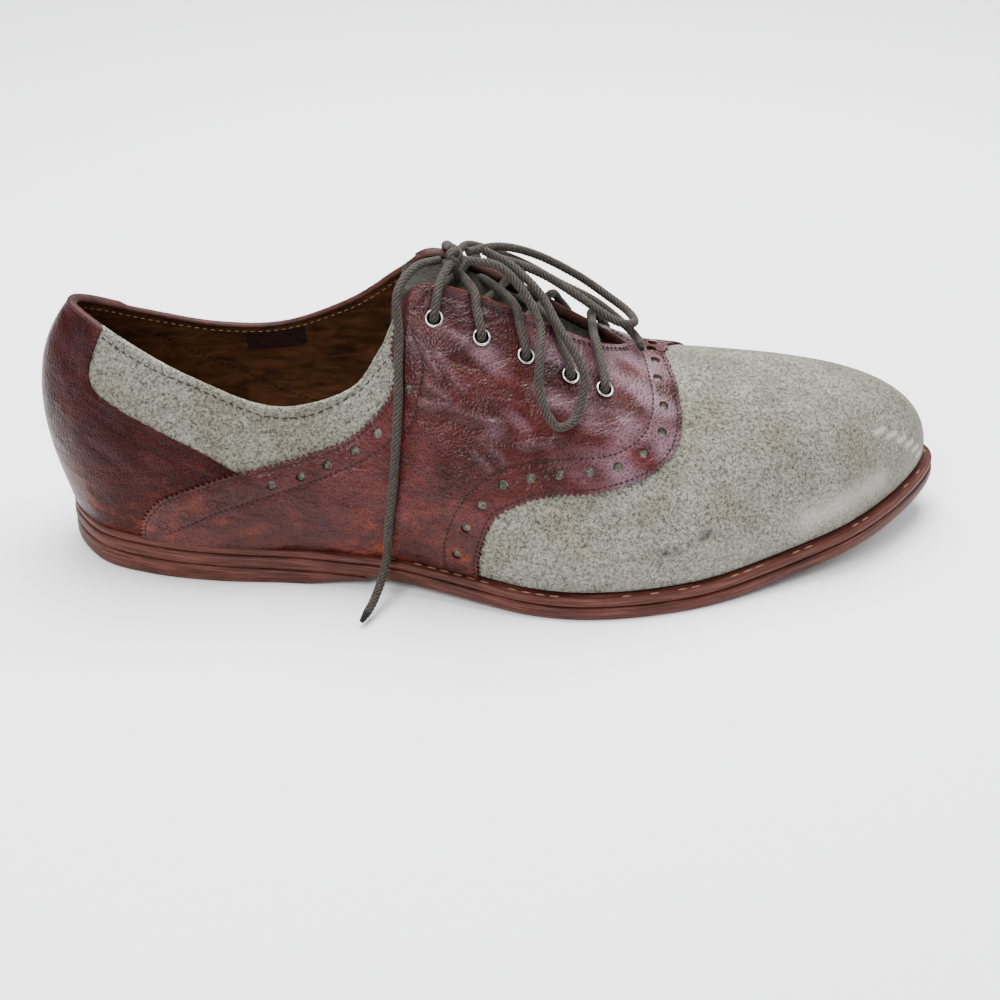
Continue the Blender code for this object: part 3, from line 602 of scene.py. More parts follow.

# %% [markdown]
# ## Finishes: oxblood pull-up leather
#
# Pull-up leather is stuffed with wax and oil. Where it bends or rubs the wax moves and the colour
# changes: purple bloom in patches, orange brown where it is worn low down. Its grain shows as fine
# pale cracks a little over a millimetre apart. Three attributes are painted on the pieces: the
# wear; the bloom, which also carries a painted highlight on the ridges, along the top and across
# the counter; and painted shade, which darkens the top of the saddle round the eyelets and, with
# an even share, all of the counter.

# %% Oxblood leather
def pull_up_leather(name, crease_strength, specular, even_shade):
    """Waxed leather: base, rubs, painted shade, bloom and painted highlight, wear, cracks over
    all.
    """
    made, tree, shader = new_material(name, Specular_IOR_Level=specular)
    place = node(tree, "TexCoord").outputs["Object"]
    rubbed_way, folded_way = (
        node(
            tree, "Mapping",
            {"Vector": place, "Rotation": turn, "Scale": tuple(cells_of(size) for size in sizes)},
        ).outputs["Vector"]
        for turn, sizes in (
            ((0.0, 0.7, 0.5), (9.0, 7.0, 4.5)), ((0.2, -0.6, 0.9), (15.0, 11.0, 6.5)),
        )
    )
    broad, streak, creases = (
        node(
            tree, "TexNoise",
            {"Vector": vector, "Scale": scale, "Detail": detail, "Roughness": rough,
             "Distortion": bent},
        ).outputs["Fac"]
        for vector, scale, detail, rough, bent in (
            (place, cells_of(23.8), 4.0, 0.6, 0.6), (rubbed_way, 1.0, 4.0, 0.65, 0.0),
            (folded_way, 1.0, 3.0, 0.5, 0.9),
        )
    )
    # The real grain is finer: cells of 1.3 mm are drawn, so that they show in the picture
    cells = node(
        tree, "TexVoronoi", {"Vector": place, "Scale": cells_of(1.3), "Randomness": 1.0},
        feature="DISTANCE_TO_EDGE",
    ).outputs["Distance"]
    color, rubs, orange, cracks = (
        node(tree, "ValToRGB", {"Fac": value}, stops=stops).outputs["Color"]
        for value, stops in (
            (broad, (
                (0.28, tone("#1e0706")), (0.42, tone("#2c0d0b")), (0.54, tone("#361413")),
                (0.66, tone("#3f191a")), (0.80, tone("#4b2629")),
            )),
            (streak, (
                (0.32, (0.72, 0.68, 0.68, 1)), (0.5, (1, 1, 1, 1)), (0.70, (1.35, 1.3, 1.3, 1)),
            )),
            (streak, ((0.35, tone("#220906")), (0.5, tone("#3a110a")), (0.66, tone("#642a12")))),
            (cells, (
                (0.0, (2.5, 2.25, 2.05, 1)), (0.10, (1.15, 1.1, 1.08, 1)),
                (0.3, (0.78, 0.75, 0.74, 1)),
            )),
        )
    )
    painted_shade, bloom_and_highlight, worn = (
        node(tree, "Attribute", attribute_name=name).outputs["Fac"]
        for name in ("painted_shade", "bloom_and_highlight", "worn")
    )
    # Painted shade: the painted attribute plus an even share for the whole piece, mixed toward
    # near black
    shade_share = node(tree, "Math", {0: painted_shade, 1: even_shade}, operation="ADD").outputs["Value"]
    # Near black is the painted shade; the pale purple is the bloom with its painted highlight
    for amount, coat, blend in (
        (0.75, rubs, "MULTIPLY"), (shade_share, tone("#120405"), "MIX"),
        (bloom_and_highlight, tone("#57434c"), "MIX"), (worn, orange, "MIX"), (0.7, cracks, "MULTIPLY"),
    ):
        color = node(
            tree, "Mix", {0: amount, 6: color, 7: coat}, data_type="RGBA", blend_type=blend,
        ).outputs[2]
    tree.links.new(color, shader.inputs["Base Color"])
    gloss = node(tree, "MapRange", {"Value": streak, "To Min": 0.20, "To Max": 0.46})
    tree.links.new(gloss.outputs["Result"], shader.inputs["Roughness"])
    pebble = node(tree, "Bump", {"Height": cells, "Strength": 0.6, "Distance": 0.0005})
    creased = node(
        tree, "Bump",
        {"Height": creases, "Strength": crease_strength, "Distance": 0.0013,
         "Normal": pebble.outputs["Normal"]},
    )
    tree.links.new(creased.outputs["Normal"], shader.inputs["Normal"])
    return made


# Wine red with a waxy shine that breaks on every crease
OXBLOOD = pull_up_leather("waxed_oxblood_leather", 0.95, 0.18, 0.0)
# The counter's copy is painted darker all over, more than half way to near black, as shade, and is
# duller
SHADED_OXBLOOD = pull_up_leather("shaded_oxblood_leather", 0.7, 0.07, 0.55)
print("oxblood:", len(OXBLOOD.node_tree.nodes), "nodes")

# %% [markdown]
# ## Finishes: sole, lining, edges, thread, nickel and cord
#
# The sole is layers of stained leather seen edge on, so its streaks run along the edge: they read
# the piece's own UV map, metres along and metres up. The lining is a thin tan leather that has
# wrinkled along the foot. Cut edges are raw and rust brown. The lace is waxed cord.

# %% The other finishes
def streaked_edge(name, dark, middle, light):
    """Layers seen edge on: the streaks run along, and are two thirds of a millimetre high."""
    made, tree, shader = new_material(name, Roughness=0.55, Specular_IOR_Level=0.2)
    uv = node(tree, "UVMap", uv_map="along_and_up").outputs["UV"]
    runs = node(tree, "Mapping", {"Vector": uv, "Scale": (cells_of(18.2), cells_of(0.667), 1.0)})
    streak = node(
        tree, "TexNoise",
        {"Vector": runs.outputs["Vector"], "Scale": 1.0, "Detail": 5.0, "Roughness": 0.65},
    )
    color = node(
        tree, "ValToRGB", {"Fac": streak.outputs["Fac"]},
        stops=((0.30, dark), (0.5, middle), (0.72, light)),
    )
    place = node(tree, "TexCoord").outputs["Object"]
    stain = node(tree, "TexNoise", {"Vector": place, "Scale": cells_of(28.6), "Detail": 3.0})
    stains = node(
        tree, "ValToRGB", {"Fac": stain.outputs["Fac"]},
        stops=((0.35, (0.72, 0.68, 0.66, 1)), (0.6, (1.08, 1.05, 1.02, 1))),
    )
    mixed = node(
        tree, "Mix", {0: 0.8, 6: color.outputs["Color"], 7: stains.outputs["Color"]},
        data_type="RGBA", blend_type="MULTIPLY",
    )
    tree.links.new(mixed.outputs[2], shader.inputs["Base Color"])
    bump = node(
        tree, "Bump", {"Height": streak.outputs["Fac"], "Strength": 0.5, "Distance": 0.0005},
    )
    tree.links.new(bump.outputs["Normal"], shader.inputs["Normal"])
    return made


def grained(name, dark, light, sizes, roughness, depth, sheen=0.0):
    """A finish whose grain has these sizes along X, Y and Z, and this depth, in millimetres."""
    made, tree, shader = new_material(
        name, Roughness=roughness, Specular_IOR_Level=0.25, Sheen_Weight=sheen,
    )
    place = node(tree, "TexCoord").outputs["Object"]
    scales = tuple(cells_of(size) for size in sizes)
    longer = node(tree, "Mapping", {"Vector": place, "Scale": scales})
    grain = node(
        tree, "TexNoise",
        {"Vector": longer.outputs["Vector"], "Scale": 1.0, "Detail": 5.0, "Roughness": 0.65,
         "Distortion": 0.5},
    )
    color = node(
        tree, "ValToRGB", {"Fac": grain.outputs["Fac"]},
        stops=((0.32, tone(dark)), (0.68, tone(light))),
    )
    tree.links.new(color.outputs["Color"], shader.inputs["Base Color"])
    bump = node(
        tree, "Bump", {"Height": grain.outputs["Fac"], "Strength": 0.6, "Distance": depth * MM},
    )
    tree.links.new(bump.outputs["Normal"], shader.inputs["Normal"])
    return made


# Red brown stain, uneven where the layers took it up
STACKED = streaked_edge(
    "stained_stacked_leather", tone("#260f0b"), tone("#46221a"), tone("#6b4038"),
)
# Thin tan leather, dark in its long wrinkles
LINING = grained(
    "wrinkled_tan_lining_leather", "#22130b", "#58361f", (12.5, 6.67, 3.85), 0.5, 0.7,
)
# Rubbed dull by the foot, with an ochre mottle
INSOLE = grained("ochre_sock_leather", "#33230d", "#5a4120", (6.67, 3.33, 3.33), 0.7, 0.4)
STAMP = grained("stamped_dark_patch", "#150a09", "#2b1512", (1.11, 1.11, 1.11), 0.7, 0.3)
# The fibres of a cut edge: rust brown and without any gloss
RAW_EDGE = grained("raw_cut_leather_edge", "#331308", "#6b3216", (2.38, 2.38, 1.11), 0.8, 0.6)
FOLD = grained("folded_brown_edge", "#190805", "#411a10", (5.0, 2.38, 2.38), 0.6, 0.6)
# Threads are mottled at two thirds of a millimetre, coarser than their real fibres
DARK_THREAD = grained("dark_waxed_thread", "#0c0504", "#1e0d0c", (0.667,) * 3, 0.6, 0.1)
PALE_THREAD = grained("pale_linen_thread", "#5b4530", "#94795a", (0.667,) * 3, 0.7, 0.1)
# Waxed cotton: dull grey brown, a little paler where fibres stand out
CORD = grained("waxed_twisted_cotton_cord", "#221d19", "#4b433b", (0.909,) * 3, 0.8, 0.2, 0.05)
# The grooves between the strands hold the shadow that shows the twist
cord_tree = CORD.node_tree
cord_color = cord_tree.nodes["Principled BSDF"].inputs["Base Color"]
deep = node(cord_tree, "Attribute", attribute_name="deep").outputs["Fac"]
shadowed = node(
    cord_tree, "Mix", {0: deep, 6: cord_color.links[0].from_socket, 7: tone("#090706")},
    data_type="RGBA",
)
cord_tree.links.new(shadowed.outputs[2], cord_color)
# Bright, and hazy where the laces have rubbed it
NICKEL, nickel_tree, nickel_shader = new_material("polished_nickel_plate", Metallic=1.0)
nickel_shader.inputs["Base Color"].default_value = tone("#c4c3bd")
nickel_place = node(nickel_tree, "TexCoord").outputs["Object"]
scuffs = node(
    nickel_tree, "TexNoise", {"Vector": nickel_place, "Scale": cells_of(1.1), "Detail": 3.0},
)
polish = node(
    nickel_tree, "MapRange", {"Value": scuffs.outputs["Fac"], "To Min": 0.18, "To Max": 0.42},
)
nickel_tree.links.new(polish.outputs["Result"], nickel_shader.inputs["Roughness"])
print("finishes:", len(bpy.data.materials))

# %% [markdown]
# ## The lace, first line
#
# The free lace is a round cord 3 mm thick. It leaves the knot four times: two loops of the bow
# and two ends, one long enough to lie down the outer side to the ground. The routes are the
# part's own points, in metres from the heel back.

# %% Routes of the lace
LACE_DIAMETER = 0.003
PANEL_THICK = 0.0012
KNOT_AT = np.array((0.1385, -0.003, 0.1058))
NEAR_LOOP = (
    (0.1426, -0.0063, 0.1062), (0.1530, -0.0095, 0.1055), (0.1610, -0.0135, 0.0985),
    (0.1665, -0.0200, 0.0895), (0.1665, -0.0298, 0.0825), (0.1665, -0.0358, 0.0728),
    (0.1715, -0.0408, 0.0635), (0.1775, -0.0385, 0.0640), (0.1800, -0.0345, 0.0688),
    (0.1810, -0.0300, 0.0760), (0.1775, -0.0250, 0.0825), (0.1725, -0.0190, 0.0885),
    (0.1665, -0.0110, 0.0965), (0.1575, -0.0040, 0.1030), (0.1480, -0.0022, 0.1080),
)
FAR_LOOP = (
    (0.1425, 0.0004, 0.1063), (0.1530, 0.0080, 0.1050), (0.1650, 0.0165, 0.0985),
    (0.1790, 0.0190, 0.0900), (0.1900, 0.0165, 0.0830), (0.1970, 0.0110, 0.0795),
    (0.1985, 0.0035, 0.0790), (0.1920, -0.0002, 0.0815), (0.1800, 0.0035, 0.0885),
    (0.1680, 0.0060, 0.0955), (0.1560, 0.0030, 0.1020), (0.1490, 0.0020, 0.1035),
)
FAR_END = (
    (0.1391, 0.0022, 0.1058), (0.1440, 0.0105, 0.1045), (0.1600, 0.0125, 0.0975),
    (0.1730, 0.0122, 0.0900), (0.1850, 0.0108, 0.0840), (0.1940, 0.0085, 0.0775),
    (0.1995, 0.0030, 0.0738), (0.2010, -0.0040, 0.0728),
)
NEAR_END_START = ((0.1336, -0.0049, 0.1058), (0.1260, -0.0115, 0.1060), (0.1205, -0.0200, 0.1005))
NEAR_END_ON_SADDLE = (
    (7.46, 0.86), (7.36, 0.77), (7.12, 0.675), (6.68, 0.533), (6.30, 0.39), (6.02, 0.258),
    (5.88, 0.14),
)
NEAR_END_TAIL = (
    (0.1155, -0.0445, 0.0165), (0.1140, -0.0495, 0.0105), (0.1112, -0.0565, 0.0052),
    (0.1078, -0.0634, 0.0022),
)
LIFT = PANEL_THICK + 2 * FIT_GAP + LACE_DIAMETER / 2
on_saddle = [tuple(sampled(row, up, LIFT)[0] - SHIFT) for row, up in NEAR_END_ON_SADDLE]
NEAR_END = (*NEAR_END_START, *on_saddle, *NEAR_END_TAIL)
print("near end passes", len(NEAR_END), "points")

# %% [markdown]
# A twisted cord is strands laid round each other. Its surface is made as one tube whose section
# has a lobe for each strand, and the section turns as it goes: one full turn every 9 mm.

# %% A twisted cord
STRANDS, LAY = 6, 0.0092
CORE, LOBE = 0.78, 0.22
SIDES_PER_STRAND = 5
RING_STEP = 0.0005


def even_points(points, pitch):
    """Points at an even distance along a line, and its whole length."""
    points = np.asarray(points, float)
    reach = reach_of(points)
    count = max(3, int(round(reach[-1] / pitch)) + 1)
    at = np.linspace(0, reach[-1], count)
    return np.column_stack([np.interp(at, reach, points[:, k]) for k in range(3)]), reach[-1]


def cord_rings(route, taper=0.0):
    """Rings of a twisted cord along a route, with the frame carried on from ring to ring."""
    line, reach = even_points(through(route, 12), RING_STEP * (1))
    along = unit(np.gradient(line, axis=0))
    side = unit(np.cross(along[0], (0.3, 0.5, 0.8)))
    sides = STRANDS * SIDES_PER_STRAND
    angles = 2 * np.pi * np.arange(sides) / sides
    rings = []
    for k, (spot, forward) in enumerate(zip(line, along)):
        side = unit(side - forward * side.dot(forward))
        other = np.cross(forward, side)
        travelled = reach * k / (len(line) - 1)
        twist = 2 * np.pi * travelled / LAY
        lobes = np.abs(np.cos(STRANDS / 2 * (angles - twist)))
        radius = LACE_DIAMETER / 2 * (CORE + LOBE * lobes**0.7)
        if taper and reach - travelled < taper:
            radius = radius * (0.55 + 0.45 * (reach - travelled) / taper)
        rings.append(spot + ring_of(side, other, sides) * radius[:, None])
    return np.array(rings) + SHIFT, line + SHIFT, reach


def cord_shape(rings):
    """The closed tube. "deep" is 1 in the grooves between its strands and 0 on their backs."""
    shape = grid_of(rings, wrap=True)
    centres = rings.mean(axis=1)
    middle = kdtree.KDTree(len(centres))
    for k, centre in enumerate(centres):
        middle.insert(centre, k)
    middle.balance()
    deep = shape.verts.layers.float.new("deep")
    for vert in shape.verts:
        share = middle.find(vert.co)[2] / (LACE_DIAMETER / 2)
        vert[deep] = min(1.0, max(0.0, (0.985 - share) / 0.13))
    return closed_up(shape)


def lay_cord(name, route, taper=0.0):
    """A free cord from the knot, with its far end bare or tied to something."""
    rings, line, reach = cord_rings(route, taper)
    piece = place_mesh(f"{name}_cord", cord_shape(rings), CORD, [name], crisp=70)
    print(f"{name}: {reach / MM:.0f} mm of cord")


# The knot is a short piece of the cord, wound through itself
turns = np.linspace(0, 2 * np.pi, 49)
wound = np.column_stack([
    np.cos(3 * turns) * 1.1,
    np.sin(turns) + 2 * np.sin(2 * turns),
    np.cos(turns) - 2 * np.cos(2 * turns),
])
KNOT_SCALE = 0.00125
knot_shape = cord_shape(cord_rings(KNOT_AT + wound * KNOT_SCALE)[0])
knot = place_mesh("lace_knot_cord", knot_shape, CORD, ["lace_knot"], crisp=70)
lay_cord("lace_end_near", NEAR_END, 0.004)
lay_cord("lace_end_far", FAR_END, 0.003)
lay_cord("lace_loop_near", NEAR_LOOP)
lay_cord("lace_loop_far", FAR_LOOP)

# %% [markdown]
# ## The sole
#
# The outsole, the welt above it and the low stacked heel all follow one outline. Each is a closed
# skin made from one grid: it starts at the middle of the underside, runs out to the edge, turns
# up round it and comes back to the middle on top. Opposite places share a rung across the foot,
# so that the two halves of the grid meet and weld along the middle.

# %% Sole layers
OUTER_ROWS = np.linspace(0, 16, 129)


def partner(row):
    """The row across the foot, which shares a rung with this one."""
    return np.interp(row, (0, 6, 8, 16, 24, 25, 31), (31, 25, 24, 16, 8, 6, 0))


# Share of the way from the middle to the edge, inset from the edge in mm, share of the height
EDGE_PROFILE = (
    (0.0, 1.3, 0.0), (0.35, 1.3, 0.0), (0.7, 1.3, 0.0), (0.93, 1.3, 0.0), (1.0, 1.3, 0.0),
    (1.0, 0.6, 0.03), (1.0, 0.2, 0.14), (1.0, 0.03, 0.32), (1.0, 0.0, 0.5), (1.0, 0.03, 0.7),
    (1.0, 0.18, 0.87), (1.0, 0.5, 0.97), (1.0, 1.1, 1.0), (0.93, 1.1, 1.0), (0.7, 1.1, 1.0),
    (0.35, 1.1, 1.0), (0.0, 1.1, 1.0),
)


def sole_grid(rows, low, high, inset, wrap):
    """Corners and UVs of one layer of the sole, between two heights that depend on x."""
    rows = np.asarray(rows)
    lines, uvs = [], []
    edge = sole_edge(rows)
    along = reach_of(edge)
    for share, more, height in EDGE_PROFILE:
        this = edge - sole_outward(rows) * (inset + more * MM)
        facing = partner(rows % ROWS)
        other = sole_edge(facing) - sole_outward(facing) * (inset + more * MM)
        middle = (this + other) / 2
        spot = middle + (this - middle) * share
        z = low(spot[:, 0]) * (1 - height) + high(spot[:, 0]) * height
        lines.append(np.column_stack([spot, z]) + SHIFT)
        drop = 0.03 * (1 - share) * (1 if height else -1)
        flat = np.column_stack([along, z - underside(spot[:, 0]) + drop])
        uvs.append(np.vstack([flat, flat[:1] + [[0.01, 0]]]) if wrap else flat)
    return grid_of(lines, wrap=wrap, uv=np.array(uvs))


def heel_underside(x):
    """Flat on the ground, and rising to the outsole at the heel's breast."""
    rise = fraction((x / LENGTH - BREAST_START) / (BREAST_END - BREAST_START))
    return (underside(x) - FIT_GAP - BREAST_EDGE) * rise**2 * (3 - 2 * rise)


ring_rows = np.concatenate([OUTER_ROWS, partner(OUTER_ROWS)[-2:0:-1]])
layers = (
    ("outsole", underside, lambda x: underside(x) + OUTSOLE_THICK, 0.0),
    (
        "welt", lambda x: underside(x) + OUTSOLE_THICK + FIT_GAP, lambda x: seat(x) - FIT_GAP,
        FIT_GAP,
    ),
)
for name, low, high, inset in layers:
    shape = closed_up(sole_grid(ring_rows, low, high, inset, wrap=True))
    place_mesh(f"{name}_layers", shape, STACKED, [name], crisp=60)

behind_breast = OUTER_ROWS[sole_edge(OUTER_ROWS)[:, 0] < BREAST_END * LENGTH]
heel_rows = np.concatenate([partner(behind_breast)[::-1] - ROWS, behind_breast[1:]])
heel_shape = sole_grid(
    heel_rows, heel_underside, lambda x: underside(x) - FIT_GAP, 0.0, wrap=False,
)
place_mesh("heel_layers", closed_up(heel_shape), STACKED, ["heel"], crisp=60)

# %% [markdown]
# The insole is one soft tan sheet that the foot stands on, a little crowned at its edge.

# %% Insole
INSOLE_THICK, UPPER_WALL = 0.0022, 0.002
margins = round_values(MARGIN_TABLE, ring_rows).mean()
insole_shape = sole_grid(
    ring_rows, seat, lambda x: seat(x) + INSOLE_THICK, margins + UPPER_WALL, wrap=True,
)
place_mesh("sock", closed_up(insole_shape), INSOLE, ["insole"], crisp=60)

# %% [markdown]
# ## Leather cut flat, then lasted
#
# A shoemaker cuts each panel flat, pinks its edge with a toothed punch, makes the holes, and only
# then pulls it over the last. The same order works here: a fine flat grid is cut with Booleans,
# its corners are moved onto the last, and a Solidify modifier gives it its thickness.

# %% Cutting and lasting
FLAT_ROW, FLAT_UP = 0.015, 0.075
BLOCK_DEPTH, CUTTER_REACH = 0.004, 0.01
QUICK_SHARE = 1


def flat_block(rows, ups, cells):
    """A thin block whose top is a fine grid over these rows and ups."""
    shape = bmesh.new()
    bmesh.ops.create_grid(shape, x_segments=cells[0], y_segments=cells[1], size=0.5)
    size = ((rows[1] - rows[0]) * FLAT_ROW, (ups[1] - ups[0]) * FLAT_UP)
    middle = ((rows[1] + rows[0]) / 2 * FLAT_ROW, (ups[1] + ups[0]) / 2 * FLAT_UP, 0)
    bmesh.ops.scale(shape, vec=(*size, 1), verts=shape.verts)
    bmesh.ops.translate(shape, vec=middle, verts=shape.verts)
    walls = bmesh.ops.extrude_edge_only(shape, edges=[e for e in shape.edges if e.is_boundary])
    lower = [one for one in walls["geom"] if isinstance(one, bmesh.types.BMVert)]
    bmesh.ops.translate(shape, vec=(0, 0, -BLOCK_DEPTH), verts=lower)
    return closed_up(shape)


def punch(outlines):
    """Upright blocks with these outlines, given as rows and ups."""
    shape = bmesh.new()
    for outline in outlines:
        flat = [(row * FLAT_ROW, up * FLAT_UP, -CUTTER_REACH) for row, up in outline]
        base = shape.faces.new([shape.verts.new(p) for p in flat])
        raised = bmesh.ops.extrude_face_region(shape, geom=[base])
        corners = [one for one in raised["geom"] if isinstance(one, bmesh.types.BMVert)]
        bmesh.ops.translate(shape, vec=(0, 0, 2 * CUTTER_REACH), verts=corners)
    bmesh.ops.recalc_face_normals(shape, faces=shape.faces)
    return shape


def lasted(rows, ups, cells, height, thickness, outline=None, holes=(), paint=None):
    """The bmesh of a panel cut flat and laid on the last, at a height that varies over it."""
    cells = [max(2, int(count * QUICK_SHARE)) for count in cells]
    panel = linked("panel", mesh_of("panel", flat_block(rows, ups, cells)))
    for outlines, operation in (([outline], "INTERSECT"), (list(holes), "DIFFERENCE")):
        if outlines and outlines[0] is not None:
            cutter = linked("cutter", mesh_of("cutter", punch(outlines)))
            modifier = panel.modifiers.new("cut", "BOOLEAN")
            modifier.operation, modifier.solver, modifier.object = operation, "EXACT", cutter
            panel.data = applied(panel)
            panel.modifiers.clear()
            bpy.data.objects.remove(cutter)
    shape = bmesh.new()
    shape.from_mesh(panel.data)
    low_faces = [f for f in shape.faces if f.calc_center_median().z < -1e-5]
    bmesh.ops.delete(shape, geom=low_faces, context="FACES")
    bmesh.ops.triangulate(shape, faces=[f for f in shape.faces if len(f.verts) > 4])
    flat = np.array([v.co for v in shape.verts])
    row, up = flat[:, 0] / FLAT_ROW, flat[:, 1] / FLAT_UP
    places = sampled(row, up, height(row, up))
    coats = [
        (shape.verts.layers.float.new(name), rule(row, up)) for name, rule in (paint or {}).items()
    ]
    for k, vert in enumerate(shape.verts):
        vert.co = places[k]
        for layer, values in coats:
            vert[layer] = values[k]
    bmesh.ops.remove_doubles(shape, verts=shape.verts, dist=2e-6)
    shape.to_mesh(panel.data)
    shape.free()
    modifier = panel.modifiers.new("thickness", "SOLIDIFY")
    modifier.thickness, modifier.offset = thickness, -1.0
    thick = bmesh.new()
    thick.from_mesh(applied(panel))
    bpy.data.objects.remove(panel)
    return thick


print("flat, a row is", FLAT_ROW / MM, "mm and the height of a panel is", FLAT_UP / MM, "mm")

# %% [markdown]
# The lines of the pattern: the saddle's two edges, the counter's edges, the stitch rows beside
# them and the punched holes. Each is drawn once on the outer side and mirrored to the inner one.
# The pinked edge is a wave of two millimetres.

# %% Pattern lines
SADDLE_REAR = (
    (7.00, 1.04), (6.80, 0.95), (6.75, 0.88), (6.88, 0.79), (6.55, 0.74), (5.50, 0.755),
    (4.90, 0.73), (4.30, 0.68), (3.65, 0.57), (2.95, 0.41), (2.40, 0.29), (2.15, 0.20),
    (1.97, 0.10), (1.90, 0.004),
)
SADDLE_FRONT = (
    (7.90, 0.004), (8.00, 0.11), (8.30, 0.22), (8.65, 0.31), (9.05, 0.36), (9.60, 0.405),
    (10.40, 0.43), (11.05, 0.47), (11.55, 0.515), (11.95, 0.58), (12.30, 0.67), (12.65, 0.76),
    (13.35, 0.86), (14.60, 0.925), (16.0, 0.935),
)
FRONT_INNER = (
    (7.10, 0.01), (7.25, 0.15), (7.67, 0.271), (8.15, 0.358), (8.68, 0.438), (9.11, 0.487),
    (9.86, 0.529), (10.65, 0.558), (11.26, 0.617), (11.62, 0.683), (11.96, 0.771), (12.20, 0.84),
    (12.62, 0.90), (13.3, 0.945), (14.5, 0.972), (16.0, 0.976),
)
REAR_INNER = (
    (2.40, 0.071), (3.44, 0.325), (4.30, 0.492), (5.09, 0.579), (6.29, 0.588), (7.42, 0.604),
    (8.01, 0.746), (7.82, 0.858),
)
FRONT_HOLES = (
    (7.51, 0.121), (7.96, 0.254), (8.47, 0.350), (8.95, 0.429), (9.40, 0.462), (9.82, 0.483),
    (10.29, 0.500), (10.75, 0.521), (11.25, 0.567), (11.73, 0.629), (12.04, 0.721),
    (12.42, 0.829), (13.22, 0.905), (14.80, 0.955),
)
REAR_HOLES = (
    (2.32, 0.121), (2.67, 0.212), (3.09, 0.308), (3.50, 0.408), (3.92, 0.492), (4.33, 0.558),
    (4.71, 0.613), (5.24, 0.654), (6.04, 0.660), (7.50, 0.700),
)
COUNTER_FRONT = (
    (2.35, 0.004), (2.38, 0.10), (2.50, 0.20), (2.85, 0.31), (3.35, 0.42), (3.75, 0.50),
)
COUNTER_TOP = (
    (3.40, 0.535), (3.00, 0.600), (2.40, 0.655), (1.80, 0.695), (1.52, 0.725), (1.43, 0.79),
    (1.50, 0.90), (1.60, 1.04),
)
COUNTER_ROWS = (
    ((1.32, 0.985), (1.25, 0.88), (1.22, 0.775), (1.36, 0.683), (2.36, 0.613), (3.30, 0.515)),
    (
        (1.15, 0.98), (1.08, 0.86), (1.05, 0.77), (1.14, 0.69), (1.34, 0.637), (2.32, 0.546),
        (3.15, 0.452),
    ),
)
COLLAR_ROW = (
    (1.60, 0.963), (2.41, 0.954), (3.11, 0.965), (3.94, 0.940), (4.46, 0.940), (5.07, 0.965),
    (5.90, 0.93), (6.63, 0.880),
)
EYELETS = (
    (8.29, 0.892), (9.02, 0.862), (9.62, 0.840), (10.26, 0.810), (10.83, 0.785),
    (23.71, 0.880), (22.98, 0.855), (22.38, 0.835), (21.74, 0.800), (21.17, 0.765),
)
TOOTH_PITCH, TOOTH_DEPTH = 0.0020, 0.0009
SEAM_IN, THROAT_SEAM_IN = 0.0018, 0.0034
HOLE_RADIUS, EYELET_HOLE = 0.00170, 0.0027


def pinked(line):
    """The line as a wave of teeth, which stay inside it."""
    places = evenly(line, TOOTH_PITCH / 6)
    wave = np.sin(np.arange(len(places)) * 2 * np.pi / 6)
    return beside(places, TOOTH_DEPTH * (0.5 - 0.5 * wave))


rear, front = through(SADDLE_REAR, 8), through(SADDLE_FRONT, 8)
whole_front = np.vstack([front, mirrored(front)[1:]])
rear_teeth, front_teeth = pinked(rear[rear[:, 1] < 1.0]), pinked(whole_front)
top_corner = np.array([[7.05, 1.06]])
saddle_outline = np.vstack([
    top_corner, rear_teeth, front_teeth, mirrored(rear_teeth), mirrored(top_corner),
])

counter_half = np.vstack([through(COUNTER_FRONT, 6), through(COUNTER_TOP, 8)])
counter_other = counter_half[::-1] * [-1, 1]
counter_outline = np.vstack([counter_half, counter_other])


TOE_ROW = 16


def outer_row(row):
    """The row of the outer side that matches a row of either side."""
    return np.where(row < TOE_ROW, row, 2 * TOE_ROW - row)


def both_sides(lines):
    """The lines, then their copies on the inner side."""
    return [*lines, *(mirrored(line) for line in lines)]


outer_rows = [beside(rear[rear[:, 1] < 0.985], SEAM_IN)]
saddle_seams = both_sides([*outer_rows, through(REAR_INNER, 8)])
saddle_seams += [beside(whole_front, SEAM_IN)]
inner_front = through(FRONT_INNER, 8)
saddle_seams += [np.vstack([inner_front, mirrored(inner_front)[1:]])]
throat_line = np.column_stack([np.linspace(7.25, 24.4, 200), np.full(200, 1.0)])
saddle_seams += [beside(throat_line, -THROAT_SEAM_IN)]
counter_seams = [through(line, 8) for line in COUNTER_ROWS]
counter_seams += [line[::-1] * [-1, 1] for line in counter_seams]
collar_seams = both_sides([through(COLLAR_ROW, 8)])

hole_places = [*FRONT_HOLES, *REAR_HOLES[4:]]
hole_places += [(float(medial_row(row)), up) for row, up in hole_places]
ring_places = list(REAR_HOLES[:4])
ring_places += [(float(medial_row(row)), up) for row, up in ring_places]
holes = [circle_on_skin(row, up, HOLE_RADIUS, 14) for row, up in hole_places]
eyelet_holes = [circle_on_skin(row, up, EYELET_HOLE, 20) for row, up in EYELETS]
print(len(saddle_outline), "corners round the saddle;", len(holes), "holes")

# %% [markdown]
# Leather is never flat. It dips where a seam pulls it down, rolls off at a cut edge and creases
# where the foot bends. A height is worked out for each corner of the grid from its distance to
# the seams, and from long folds that run down and forward from the eyelets.

# %% Relief of the leather
def tree_of(lines, pitch=0.0004):
    """A tree that finds the nearest spot on these lines."""
    spots = np.vstack([skin(*evenly(line, pitch).T) for line in lines])
    tree = kdtree.KDTree(len(spots))
    for k, spot in enumerate(spots):
        tree.insert(spot, k)
    tree.balance()
    return tree


def distances(tree, row, up):
    """How far each place is from the tree's lines, in metres."""
    return np.array([tree.find(spot)[2] for spot in skin(row, up)])


def dip(far, depth, width):
    """A soft groove, this deep in its middle."""
    return depth * np.exp(-((far / width) ** 2))


